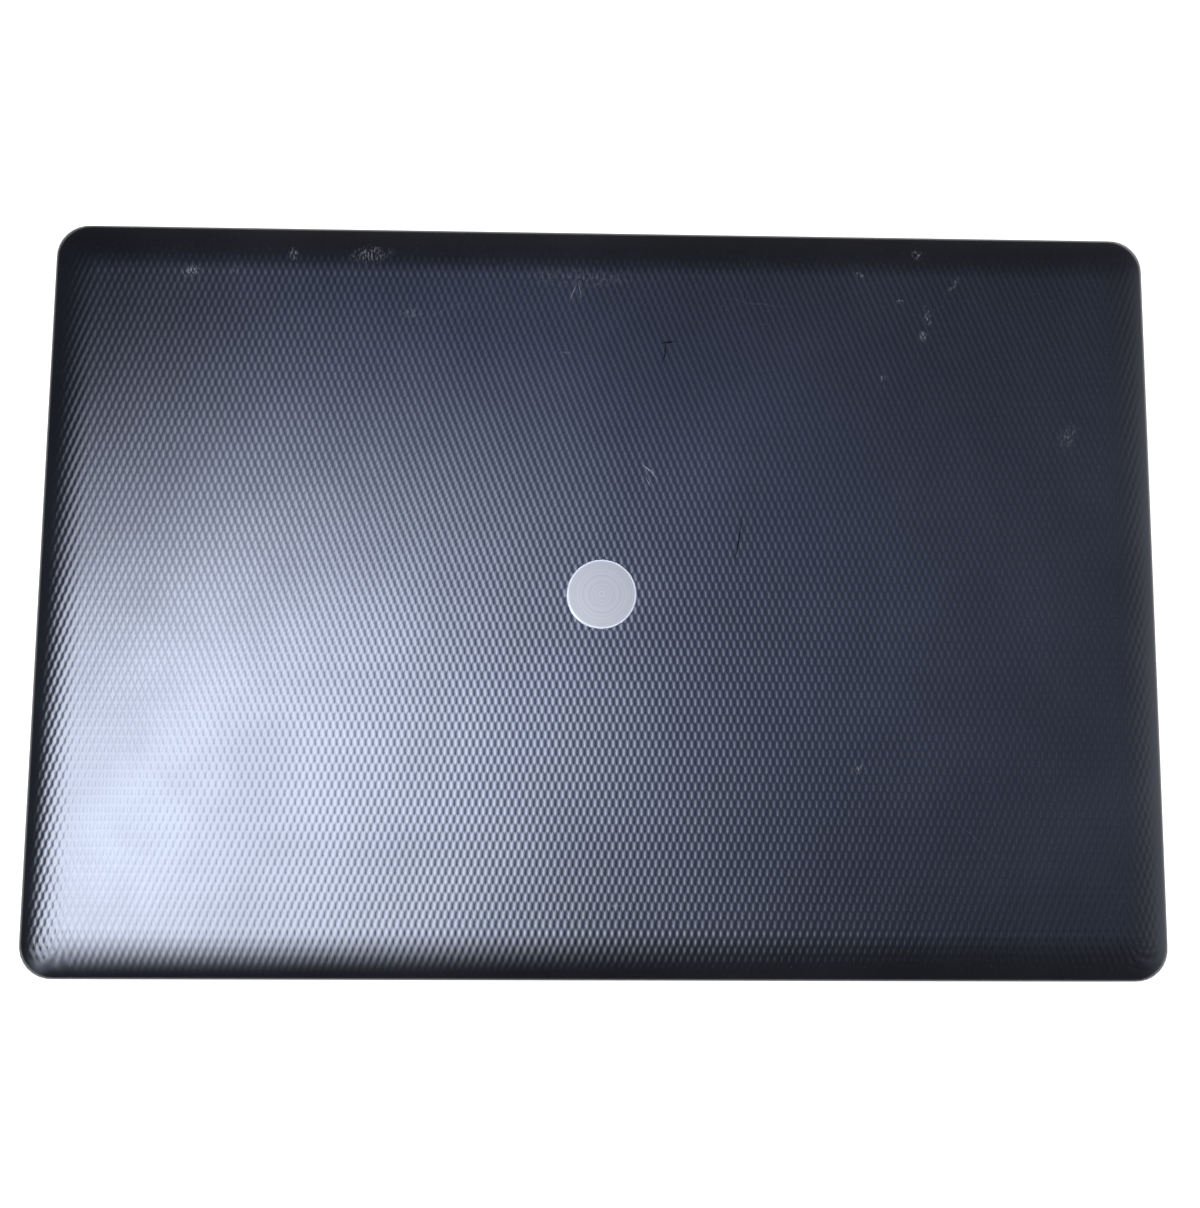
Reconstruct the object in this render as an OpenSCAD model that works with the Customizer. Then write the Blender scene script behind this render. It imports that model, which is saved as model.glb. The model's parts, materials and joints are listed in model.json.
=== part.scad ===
// Closed 17-inch laptop computer with a drop hinge, a number pad and a tray-loading disc drive.
// Frame: +X to the user's right, +Y to the hinge, +Z up; origin under the middle of the feet.
// All sizes are in millimetres.

/* [Overall] */
// Width of the closed laptop
body_w = 415.4; // [412:0.2:440]
// Depth of the closed laptop, front edge to hinge edge
body_d = 279.2; // [277:0.2:300]
// Radius of the four corners, seen from above
corner_r = 12; // [11.4:0.2:14]
// Height of the rubber feet under the bottom cover
foot_h = 1.6; // [1.2:0.1:3]
// Height of the base, bottom cover to deck
base_h = 16.4; // [16.2:0.1:19]
// Gap between the deck and the closed lid
lid_gap = 0.6; // [0.5:0.05:0.9]
// Thickness of the lid, which is also the radius of its hinge nose
lid_t = 6.4; // [6.3:0.1:7.4]

/* [Lid] */
// Side wall of the lid's back cover
lid_wall = 1.8; // [1.6:0.1:2.2]
// Skin of the lid's back cover over the panel
lid_skin = 1.6; // [1.3:0.1:1.8]
// Upright part of the lid's edge
lid_edge_h = 1.8; // [1.4:0.1:2.2]
// Distance over which the lid's top rolls down to its edge
lid_edge_run = 11; // [9:0.5:12]
// Thickness of the screen bezel
bezel_t = 1.4; // [1:0.1:1.6]
// Bezel on each side of the picture
side_bezel = 16.7; // [15.7:0.1:22]
// Lid between the picture and the hinge edge
screen_foot = 44.2; // [42.2:0.2:59]
// Bezel above the picture, where the camera sits
screen_top = 20; // [18:0.5:22]
// Border of the display panel around the picture
panel_border = 4; // [3:0.5:4.5]
// Thickness of the display panel
panel_t = 3; // [2.4:0.1:3.1]
// Diameter of the plain badge
badge_d = 26; // [20:1:45]
// Depth of the badge's seat
badge_t = 0.6; // [0.4:0.1:0.9]

/* [Hinge] */
// Distance from each side to the middle of its hinge eye
hinge_inset = 29.7; // [28.7:0.1:35]
// Width of each hinge eye
eye_w = 8; // [6:0.5:9]
// Outside radius of each hinge eye
eye_r = 3.6; // [3.3:0.1:3.7]
// Radius of the hinge shafts
shaft_r = 2.45; // [2.2:0.05:2.6]
// Thickness of the hinge's sheet steel
leaf_t = 1.8; // [1.4:0.1:1.9]
// Length of the hinge arm beside the display panel
arm_len = 96; // [60:1:120]
// Space between the lid's nose and the scoop in the base
scoop_gap = 1; // [0.8:0.1:1.4]

/* [Base] */
// How far the base stays inside the lid's outline
base_inset = 0.6; // [0.4:0.1:1]
// Height of the bottom cover
cover_h = 7; // [6.8:0.1:7.4]
// Side walls of the base
base_wall = 1.8; // [1.5:0.1:2]
// Thickness of the bottom cover's floor
floor_t = 1.8; // [1.5:0.1:1.9]
// Thickness of the deck
deck_t = 2; // [1.6:0.1:2.1]
// Height of the bottom cover's rolled edge
roll_h = 2.4; // [2:0.1:2.4]
// Width of the bottom cover's rolled edge
roll_run = 5; // [3:0.5:6]
// Length of the rear foot
rear_foot_l = 300; // [200:5:340]
// Length of each front foot
front_foot_l = 44; // [30:1:60]
// Width of every foot
foot_w = 8; // [6:0.5:9]

/* [Keyboard] */
// Deck on each side of the keyboard
side_margin = 25.7; // [25.6:0.1:32]
// Space between neighbouring keycaps
key_space = 2.6; // [2.2:0.1:3.2]
// Height of a keycap
key_h = 2; // [1.6:0.1:2.1]
// Distance that a key travels
key_travel = 1.3; // [0.9:0.1:1.4]
// How far the keycaps stand above the deck
key_proud = 0.2; // [0:0.05:0.25]
// Height of the function row, as a share of a full row
fn_share = 0.7; // [0.6:0.05:0.8]
// Depth of the keyboard's recess in the deck
well_depth = 0.6; // [0.4:0.1:0.8]
// Distance from the scoop's edge to the keyboard
strip_d = 15.5; // [15:0.5:18]

/* [Touchpad] */
// Width of the touchpad
pad_w = 105; // [90:1:120]
// Depth of the touchpad
pad_d = 80; // [70:1:84]
// Distance from the keyboard to the touchpad
pad_back = 22; // [18:1:30]
// Gap around the touchpad
pad_gap = 0.4; // [0.3:0.05:0.6]
// Travel of the touchpad's front edge
pad_travel = 0.5; // [0.3:0.05:0.6]

/* [Optical drive] */
// Length of the drive along the laptop's width
drive_l = 128; // [127.5:0.5:130]
// Width of the drive along the laptop's depth
drive_w = 128; // [127:0.5:130]
// Height of the drive
drive_h = 9.5; // [9:0.1:9.5]
// Diameter of a disc
disc_d = 120; // [119:0.5:121]

/* [Cooling] */
// Radius of the fan's blades
fan_r = 25; // [20:0.5:26]
// Number of fan blades
blade_count = 23; // [15:1:29]
// Spacing of the radiator fins
fin_pitch = 2.2; // [1.8:0.1:3]
// Width of one vent slot
slot_w = 2; // [1.6:0.1:2.4]

/* [Sockets] */
// Radius of the headset socket's bore
headset_r = 1.8; // [1.76:0.01:1.85]
// Length of the headset socket's bore
headset_l = 12; // [11:0.5:14]
// Radius of the power socket's bore
power_r = 2.35; // [2.3:0.01:2.45]
// Length of the power socket's mouth
power_mouth = 4; // [3:0.5:5]

/* [Hidden] */

$fn = 48;
key_fn = 8;            // fineness of the keycaps' corners
sliver = 0.01;         // thickness of a keycap's slices
cut = 1;               // how far a cutting tool runs past a face

// heights
z_base = foot_h;
z_floor = z_base + floor_t;
z_part = z_base + cover_h;
z_deck = z_base + base_h;
z_under = z_deck - deck_t;
z_lid = z_deck + lid_gap;

// outlines
base_w = body_w - 2 * base_inset;
base_d = body_d - 2 * base_inset;
base_r = corner_r - base_inset;
half_w = base_w / 2;
half_d = base_d / 2;
inner_x = half_w - base_wall;
inner_y = half_d - base_wall;
fit = 0.15;            // clearance between pieces that seat in each other

// hinge
axis_y = body_d / 2 - lid_t;
axis_z = z_lid;
eye_x = body_w / 2 - hinge_inset;
barrel_r = lid_t - 0.4;
barrel_wall = 1.2;
scoop_r = lid_t + scoop_gap;
scoop_wall = 1.6;
eye_in = eye_x - eye_w / 2;
eye_out = eye_x + eye_w / 2;
barrel_end = eye_in - 4;            // end of the middle barrel
outer_barrel = eye_out + 5.5;       // start of the two outer barrels
outer_barrel_end = body_w / 2 - corner_r + 2.2;
run_clear = 0.05;                   // running clearance of the shafts
arm_z = 2;                          // height of the arm above the lid's underside
arm_t = 1.2;
arm_w = 7;
leaf_low = 6.3;                     // leaf's underside, below the axis
leaf_front = 20.5;                  // leaf's front edge, ahead of the axis
leaf_back = 11.6;                   // leaf's rear edge, ahead of the axis
leaf_x = [eye_x - 12, eye_x + 21];  // leaf's two ends
scoop_y = axis_y - sqrt(pow(scoop_r, 2) - pow(lid_gap, 2));   // rear edge of the deck

// screen
screen_w = body_w - 2 * side_bezel;
screen_h = body_d - screen_top - screen_foot;
screen_y = -body_d / 2 + screen_top + screen_h / 2;
panel_w = screen_w + 2 * panel_border;
panel_foot = 8.5;                   // panel's border at the hinge side
panel_z = bezel_t + 0.1;
bezel_edge = lid_wall + fit;
bezel_back = axis_y - barrel_r - 0.2;

// layout of the base: drive at the right, board at the rear with the battery in front of it
drive_x = half_w - drive_l;                         // inner end of the drive
drive_front = -half_d + 36;
drive_back = drive_front + drive_w;
board_back = axis_y - 23.2;
board_front = axis_y - 133.2;
fan_x = -inner_x + 85.3;
battery_x = fan_x + 23.5;
battery_w = drive_x - 3.6 - battery_x;

// screws: [x, y]
screw_reach = half_w - 27.1;
cover_screws = [
    for (s = [-1, -1 / 3, 1 / 3, 1]) [s * screw_reach, -inner_y + 4.6],
    for (x = [fan_x + 5.5, drive_x - 5.6]) [x, board_front - 30],
    for (x = [fan_x - 38.5, -60, 60, half_w - 48.1]) [x, scoop_y - 7.4]
];
screw_r = 1.1;
screw_head_r = 2.6;
screw_head_h = 1.6;
boss_r = 3.4;
head_seat = 3.4;                    // depth of the screw heads' counterbores

// boards
board_t = 1.2;
board_z = z_part + 0.2 - board_t;
board_top = board_z + board_t;

// keyboard, in key units from its rear left corner
units_main = 15;
pad_split = 3;                      // gap between the letters and the number pad
key_pitch = (body_w - 2 * side_margin - pad_split) / (units_main + 4);
num_x = units_main + pad_split / key_pitch;
keys_w = body_w - 2 * side_margin;
keys_d = (5 + fn_share) * key_pitch;
keys_x = -keys_w / 2;
keys_y = scoop_y - strip_d;         // rear edge of the key field
well_margin = 1.2;
well_r = 2;
key_clear = 0.5;                    // gap between a keycap and its window
frame_t = 1.4;
frame_z = z_deck - well_depth - frame_t;
key_top = z_deck + key_proud;
key_bottom = key_top - key_h;
plate_t = 0.8;
plate_z = key_bottom - key_travel - 0.5 - plate_t;

function total(v, n) = n <= 0 ? 0 : v[n - 1] + total(v, n - 1);
function same(n, w = 1) = [for (i = [1:n]) w];
// A run of keys side by side, as [x, y, width, depth] in key units
function key_run(x, y, widths, d = 1) =
    [for (i = [0:len(widths) - 1]) [x + total(widths, i), y, widths[i], d]];
function row_y(n) = fn_share + n - 1;

keys_function = concat(
    key_run(0, 0, same(16, units_main / 16), fn_share),
    key_run(num_x, 0, same(4), fn_share));
keys_number = key_run(0, row_y(1), concat(same(13), [2]));
keys_top = key_run(0, row_y(2), concat([1.5], same(12), [1.5]));
keys_home = key_run(0, row_y(3), concat([1.75], same(11)));
keys_enter = key_run(12.75, row_y(3), [2.25]);
keys_shift = key_run(0, row_y(4), [2.25]);
keys_bottom = key_run(2.25, row_y(4), concat(same(10), [2.75]));
keys_modifier = concat(
    key_run(0, row_y(5), [1.25, 1, 1, 1.25]),
    key_run(9.75, row_y(5), [1.25, 1]));
keys_space = key_run(4.5, row_y(5), [5.25]);
keys_arrow = concat(
    key_run(12, row_y(5), [1]),
    key_run(13, row_y(5), [1], 0.5),
    key_run(13, row_y(5) + 0.5, [1], 0.5),
    key_run(14, row_y(5), [1]));
keys_pad = concat(
    key_run(num_x, row_y(1), same(4)),
    key_run(num_x, row_y(2), same(3)),
    key_run(num_x + 3, row_y(2), [1], 2),
    key_run(num_x, row_y(3), same(3)),
    key_run(num_x, row_y(4), same(3)),
    key_run(num_x + 3, row_y(4), [1], 2),
    key_run(num_x, row_y(5), [2, 1]));
all_keys = concat(keys_function, keys_number, keys_top, keys_home, keys_enter, keys_shift, keys_bottom,
    keys_modifier, keys_space, keys_arrow, keys_pad);

// touchpad
pad_x = keys_x + (4.5 + 5.25 / 2) * key_pitch;      // in line with the space bar
pad_y = keys_y - keys_d - pad_back - pad_d / 2;
pad_top = z_deck - 0.2;
pad_t = 1.6;
pad_flange = 2;
pad_flange_t = 0.8;
pad_flange_z = z_under - 0.15 - pad_flange_t;

// power button
power_x = keys_x + keys_w - 62;
power_y = keys_y + 8.2;
power_w = 15;
power_d = 8;
power_top = z_deck - 0.1;

// optical drive
drive_y = drive_front + drive_w / 2;               // middle of the drive
drive_z = z_floor + 0.2;
drive_skin = 0.6;
rail_w = 2;
rail_h = 3.4;
tray_in = drive_x + 3.5;
tray_w = drive_w - 2 * (drive_skin + rail_w + 0.7);
tray_z = drive_z + 1.5;
tray_t = 5.6;
tray_top = tray_z + tray_t;
disc_x = tray_in + disc_d / 2 + 1;
bezel_in = inner_x + 0.2;                          // inner face of the tray's end cap
bezel_h = drive_h - 0.5;
eject_y = drive_y + 34;

// cooling
fan_case = fan_r + 5;
fan_y = inner_y - 11.4 - fan_case;
fan_z = z_floor + 0.3;
fan_h = 6;
fan_skin = 0.6;
axle_r = 1.5;
fins_w = 62;
fins_d = 10;
fins_y = inner_y - fins_d / 2 - 1;
pipe_z = z_floor + 0.4;
pipe_t = 1.8;
pipe_w = 7;
cpu = [fan_x + 75, board_back - 58];

// speakers
speaker_at = [half_w - 77.1, -inner_y + 18.5];

// sockets: distance of each middle along the depth
power_sy = axis_y - 33.2;
network_y = axis_y - 53.2;
video_y = axis_y - 73.2;
usb_left_y = [axis_y - 92.2, axis_y - 110.2];
headset_y = axis_y - 126.2;
card_y = drive_back + 27;
usb_right_y = card_y + 24;
lock_y = axis_y - 19.2;
face_in = 0.2;                                     // socket faces stay this far inside the wall
usb_size = [14, 13.1, 5.7];                        // depth, width, height
video_size = [12, 15, 5.6];
network_size = [19, 16, 7.1];
card_size = [24, 26, 3.6];
headset_size = [headset_l + 1, 7, 6.6];
headset_nose = 2.6;                                // radius of the round nose in the wall
power_size = [13, 8, 6.8];
power_nose = 2.95;
nose_pad = 1;                                      // how much the wall is thickened around a nose
notch = 0.2;                                       // gap between a socket and its notch

// ---------- shared shapes ----------

module rounded(w, d, r) {
    // rounded rectangle with true arcs
    square([w - 2 * r, d], center = true);
    square([w, d - 2 * r], center = true);
    for (x = [-1, 1], y = [-1, 1])
        translate([x * (w / 2 - r), y * (d / 2 - r)]) circle(r);
}

module slab(w, d, h, r) {
    linear_extrude(h) rounded(w, d, r);
}

module pill(l, w, h) {
    // bar with round ends along X
    linear_extrude(h) {
        square([l - w, w], center = true);
        for (x = [-1, 1]) translate([x * (l - w) / 2, 0]) circle(w / 2);
    }
}

module block(low, high) {
    translate(low) cube(high - low);
}

function rolled_edge(r, edge_h, h, run, steps) = concat(
    [[0, 0], [r, 0]],
    [for (i = [0:steps])
        [r - run * (1 - cos(90 * i / steps)), edge_h + (h - edge_h) * sin(90 * i / steps)]],
    [[0, h]]);

module domed_slab(w, d, r, edge_h, h, run, steps = 8) {
    // slab whose top rolls down to an upright edge on a quarter ellipse
    section = rolled_edge(r, edge_h, h, run, steps);
    for (i = [0:3]) rotate(90 * i) {
        long = i % 2 == 0 ? w : d;
        wide = i % 2 == 0 ? d : w;
        translate([long / 2 - r, wide / 2 - r, 0]) rotate_extrude(angle = 90) polygon(section);
        translate([long / 2 - r, 0, 0]) rotate([90, 0, 0])
            linear_extrude(wide - 2 * r, center = true) polygon(section);
    }
    block([-w / 2 + r, -d / 2 + r, 0], [w / 2 - r, d / 2 - r, h]);
}

module along_x(x0, x1, r) {
    // round bar on the hinge axis
    translate([x0, axis_y, axis_z]) rotate([0, 90, 0]) cylinder(r = r, h = x1 - x0);
}

module mirrored() {
    // the same piece on both sides of the laptop
    children();
    mirror([1, 0, 0]) children();
}

// ---------- lid ----------

lid_boss = [for (s = [0.15, 0.5, 0.85]) axis_y - 8 - s * (arm_len - 8)];
arm_x = panel_w / 2 + 0.8;
boss_x = arm_x + arm_w / 2;

module lid_shell() {
    inner_w = body_w - 2 * lid_wall;
    inner_d = body_d - 2 * lid_wall;
    difference() {
        domed_slab(body_w, body_d, corner_r, lid_edge_h, lid_t, lid_edge_run);
        translate([0, 0, -cut])
            domed_slab(inner_w, inner_d, corner_r - lid_wall, lid_edge_h - 0.8 + cut,
                lid_t - lid_skin + cut, lid_edge_run - 1.4);
    }
}

module outer_barrel_half() {
    // half-round end of the lid's nose, with the plate that closes the corner behind the bezel
    intersection() {
        along_x(outer_barrel, outer_barrel_end, barrel_r);
        block([0, 0, 0], [body_w, body_d, z_lid]);
    }
    intersection() {
        translate([0, 0, z_lid - 0.2])
            slab(body_w - 2 * lid_wall + 0.8, body_d - 2 * lid_wall + 0.8, bezel_t + 0.2,
                corner_r - lid_wall + 0.4);
        block([outer_barrel, bezel_back + 0.2, z_lid - 0.2], [body_w, body_d, z_lid + bezel_t]);
    }
}

module panel_ribs() {
    // low ribs that locate the panel's two ends
    for (x = [-1, 1], y = [-0.35, 0, 0.3])
        translate([x * (panel_w / 4), 0, 0])
            block([-12, screen_y - screen_h / 2 - panel_border - 1.6, z_lid + bezel_t + 0.2],
                [12, screen_y - screen_h / 2 - panel_border - 0.5, z_lid + lid_t - lid_skin + 0.2]);
}

module lid_back_cover() color([0.13, 0.14, 0.18]) {
    difference() {
        union() {
            translate([0, 0, z_lid]) lid_shell();
            mirrored() outer_barrel_half();
            panel_ribs();
            mirrored() for (y = lid_boss)
                translate([boss_x, y, z_lid + arm_z + arm_t + 0.1])
                    cylinder(r = 2.4, h = lid_t - lid_skin - arm_z - arm_t + 0.3);
        }
        translate([0, 0, z_lid + lid_t - badge_t]) cylinder(d = badge_d + 0.2, h = badge_t + cut);
        mirrored() for (y = lid_boss)
            translate([boss_x, y, z_lid + arm_z]) cylinder(r = screw_r - 0.15, h = 2.4);
    }
}

module lid_badge() color([0.78, 0.79, 0.82])
    translate([0, 0, z_lid + lid_t - badge_t]) {
        cylinder(d = badge_d, h = badge_t - 0.15);
        translate([0, 0, badge_t - 0.15]) cylinder(d1 = badge_d, d2 = badge_d - 0.6, h = 0.15, $fn = 72);
    }

module display_panel() color([0.05, 0.05, 0.06]) {
    front = screen_y - screen_h / 2 - panel_border;
    back = screen_y + screen_h / 2 + panel_foot;
    difference() {
        block([-panel_w / 2, front, z_lid + panel_z], [panel_w / 2, back, z_lid + panel_z + panel_t]);
        block([-panel_w / 2 - cut, screen_y + screen_h / 2 + 2, z_lid + panel_z + 1.8],
            [panel_w / 2 + cut, back + cut, z_lid + panel_z + panel_t + cut]);
    }
    // driver board along the hinge side
    block([-150, back - 6, z_lid + panel_z + 1.8], [150, back - 0.5, z_lid + panel_z + 2.6]);
}

module display_bezel() color([0.07, 0.07, 0.08]) {
    w = body_w - 2 * bezel_edge;
    d = body_d - 2 * bezel_edge;
    camera_y = -body_d / 2 + screen_top / 2;
    difference() {
        translate([0, 0, z_lid]) slab(w, d, bezel_t, corner_r - bezel_edge);
        translate([0, screen_y, z_lid - cut]) slab(screen_w + 0.6, screen_h + 0.6, bezel_t + 2 * cut, 1);
        block([-body_w, bezel_back, z_lid - cut], [body_w, body_d, z_lid + bezel_t + cut]);
        translate([0, camera_y, z_lid - cut]) cylinder(r = 2.7, h = bezel_t + 2 * cut);
        translate([9, camera_y, z_lid - cut]) cylinder(r = 0.7, h = bezel_t + 2 * cut);
        for (x = [-42, 42]) translate([x, camera_y, z_lid - cut]) cylinder(r = 0.6, h = bezel_t + 2 * cut);
    }
}

module lid_bumpers() color([0.12, 0.12, 0.12]) {
    t = lid_gap - 0.1;
    for (x = [-165, -60, 60, 165]) translate([x, -body_d / 2 + 8, z_lid - t]) pill(12, 3, t);
    for (x = [-1, 1], y = [-70, 40])
        translate([x * (body_w / 2 - 7), y, z_lid - t]) rotate([0, 0, 90]) pill(12, 3, t);
}

module camera_module() color([0.05, 0.18, 0.1]) {
    translate([0, -body_d / 2 + screen_top / 2, z_lid]) {
        difference() {
            block([-47, -3, bezel_t + 0.1], [47, 3, bezel_t + 1.1]);
            for (x = [-42, 42]) translate([x, 0, 0]) cylinder(r = 0.8, h = 4);
        }
        translate([0, 0, bezel_t + 1.1]) block([-4, -3, 0], [4, 3, 1.5]);
        translate([0, 0, 0.4]) cylinder(r = 2.5, h = bezel_t - 0.2);
        translate([9, 0, bezel_t - 0.2]) cylinder(r = 0.55, h = 0.4);
    }
}

module hinge_cover() color([0.1, 0.1, 0.11]) {
    // half-round strip that closes the middle barrel
    difference() {
        along_x(-barrel_end, barrel_end, barrel_r);
        along_x(-barrel_end + barrel_wall, barrel_end - barrel_wall, barrel_r - barrel_wall);
        block([-body_w, 0, axis_z], [body_w, body_d, axis_z + 2 * barrel_r]);
    }
    // clip ribs across the barrel
    for (x = [-120, -60, 0, 60, 120])
        intersection() {
            along_x(x - 0.6, x + 0.6, barrel_r - 0.3);
            block([-body_w, axis_y - barrel_r, axis_z - barrel_r],
                [body_w, axis_y + barrel_r, axis_z - 2.6]);
        }
}

module hinge_arm() color([0.55, 0.56, 0.58]) {
    head = eye_in - 1.4;
    along_x(head, eye_out + 2.4, shaft_r);
    along_x(head - 0.4, head + 0.9, eye_r - 0.3);
    difference() {
        union() {
            // lug on the shaft's outer end
            translate([0, axis_y, axis_z])
                block([eye_out + 2, -shaft_r, -shaft_r + 0.4], [eye_out + 5.2, shaft_r - 0.4, arm_z + arm_t]);
            // sheet that runs out and then up beside the panel
            translate([0, axis_y, axis_z + arm_z]) {
                block([eye_out + 2, -12, 0], [eye_out + 8, shaft_r - 0.4, arm_t]);
                block([eye_out + 2, -12, 0], [arm_x + arm_w, -3.4, arm_t]);
                block([arm_x, -arm_len, 0], [arm_x + arm_w, -3.4, arm_t]);
            }
        }
        for (y = lid_boss) translate([boss_x, y, z_lid]) cylinder(r = screw_r + 0.15, h = lid_t);
    }
}

module hinge_washers() color([0.72, 0.66, 0.45])
    mirrored() for (i = [0:2]) difference() {
        along_x(eye_out + 0.1 + 0.6 * i, eye_out + 0.6 + 0.6 * i, eye_r - 0.1);
        along_x(eye_out, eye_out + 3, shaft_r + run_clear);
    }

module display_cable() color([0.09, 0.09, 0.1]) {
    // flat harness from the panel's foot into the barrel and along it to the left hinge
    foot = screen_y + screen_h / 2 + panel_foot;
    z = z_lid + panel_z + 1;
    block([-90, foot - 5, z_lid + panel_z + 2.7], [-74, foot + 0.4, z_lid + panel_z + 3.1]);
    block([-90, foot + 0.1, z], [-74, foot + 0.4, z_lid + panel_z + 3.1]);
    block([-90, foot + 0.1, z], [-74, axis_y + 1.4, z + 0.4]);
    block([-90, axis_y + 1, axis_z - 1.8], [-74, axis_y + 1.4, z + 0.4]);
    block([-barrel_end + 3, axis_y - 1.5, axis_z - 2.2], [-74, axis_y + 1.4, axis_z - 1.6]);
}

module antennas() color([0.75, 0.6, 0.3])
    for (x = [-112, 112])
        translate([x, -body_d / 2 + screen_top / 2, z_lid + bezel_t + 0.1]) block([-26, -3, 0], [26, 3, 0.9]);

module lid_screws() color([0.3, 0.3, 0.32])
    mirrored() for (y = lid_boss) translate([boss_x, y, z_lid + arm_z]) {
        translate([0, 0, -0.5]) cylinder(r = 2.2, h = 0.5);
        cylinder(r = screw_r - 0.25, h = 2);
    }

// ---------- base ----------

module socket_notch(y, size, side) {
    // notch in a side wall, open at the joint with the bottom cover
    translate([side * (half_w - base_wall / 2), y, z_part - cut])
        linear_extrude(size[2] + 0.2 + notch + cut)
            square([base_wall + 2 * cut, size[1] + 2 * notch], center = true);
}

module nose_hole(y, size, r) {
    // round hole for a socket's nose
    translate([-half_w - cut, y, board_top + size[2] / 2]) rotate([0, 90, 0])
        cylinder(r = r + fit, h = base_wall + nose_pad + 2 * cut);
}

module nose_seat(y) {
    // thicker wall around a nose hole
    block([-inner_x - 0.5, y - 5, board_top + 0.15], [-inner_x + nose_pad, y + 5, z_under + 0.5]);
}

module drive_notch(z0, z1) {
    block([inner_x - cut, drive_y - drive_w / 2 - 0.3, z0], [half_w + cut, drive_y + drive_w / 2 + 0.3, z1]);
}

module leaf_bosses() {
    for (x = [leaf_x[0] + 4.4, leaf_x[1] - 4.4])
        translate([x, axis_y - (leaf_front + leaf_back) / 2, axis_z - leaf_low + leaf_t]) children();
}

module palmrest() color([0.11, 0.11, 0.13]) {
    difference() {
        union() {
            // deck and side walls
            difference() {
                translate([0, 0, z_part]) slab(base_w, base_d, z_deck - z_part, base_r);
                translate([0, 0, z_part - cut])
                    slab(2 * inner_x, 2 * inner_y, z_under - z_part + cut, base_r - base_wall);
            }
            // wall under the scoop
            intersection() {
                translate([0, 0, z_part]) slab(base_w, base_d, z_deck - z_part, base_r);
                along_x(-body_w, body_w, scoop_r + scoop_wall);
            }
            // bosses for the bottom cover's screws
            for (p = cover_screws) translate([p[0], p[1], z_part]) cylinder(r = boss_r, h = z_under - z_part + cut);
            nose_seat(power_sy);
            nose_seat(headset_y);
            // bosses for the hinge leaves
            mirrored() leaf_bosses() cylinder(r = 2.6, h = z_under - (axis_z - leaf_low + leaf_t) + cut);
        }
        // scoop for the lid's nose
        along_x(-body_w, body_w, scoop_r);
        block([-body_w, axis_y - scoop_r / 2, z_lid - 2], [body_w, body_d, z_lid + 2]);
        // keyboard, touchpad and power button
        translate([keys_x + keys_w / 2, keys_y - keys_d / 2, z_under - cut])
            slab(keys_w + 2 * well_margin, keys_d + 2 * well_margin, deck_t + 2 * cut, well_r);
        translate([pad_x, pad_y, z_under - cut])
            slab(pad_w + 2 * pad_gap, pad_d + 2 * pad_gap, deck_t + 2 * cut, 3);
        translate([power_x, power_y, z_under - cut]) pill(power_w + 0.5, power_d + 0.5, deck_t + 2 * cut);
        // slots for the hinge leaves
        mirrored() block([eye_in - 0.5, axis_y - leaf_back - 2, axis_z - leaf_low - 0.4],
            [eye_out + 0.5, axis_y - 3, axis_z - 2.7]);
        // pilot holes
        for (p = cover_screws) translate([p[0], p[1], z_part - cut]) cylinder(r = screw_r + 0.05, h = 6 + cut);
        mirrored() leaf_bosses() translate([0, 0, -cut]) cylinder(r = screw_r - 0.15, h = cut + 1.6);
        // sockets
        nose_hole(power_sy, power_size, power_nose);
        socket_notch(network_y, network_size, -1);
        socket_notch(video_y, video_size, -1);
        for (y = usb_left_y) socket_notch(y, usb_size, -1);
        nose_hole(headset_y, headset_size, headset_nose);
        socket_notch(usb_right_y, usb_size, 1);
        socket_notch(card_y, [0, card_size[1], card_size[2]], 1);
        drive_notch(z_part - cut, drive_z + bezel_h + 0.8);
        // lock slot
        translate([half_w - base_wall / 2, lock_y, z_part + 3.4])
            block([-base_wall, -3.5, -1.5], [base_wall, 3.5, 1.5]);
        // finger scoop in the front edge, to open the lid
        translate([0, -half_d - 26.4, z_deck - 1.6]) cylinder(r = 30, h = 3);
    }
}

module foot_places() {
    translate([0, inner_y - 9, 0]) children(0);
    for (x = [-1, 1]) translate([x * (half_w - 30), -inner_y + 17, 0]) children(1);
}

module vent_field(columns, rows, pitch_x, pitch_y, length) {
    for (i = [0:columns - 1], j = [0:rows - 1])
        translate([(i - (columns - 1) / 2) * pitch_x, (j - (rows - 1) / 2) * pitch_y, 0])
            rotate([0, 0, 90]) pill(length, slot_w, floor_t + 2 * cut);
}

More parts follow.
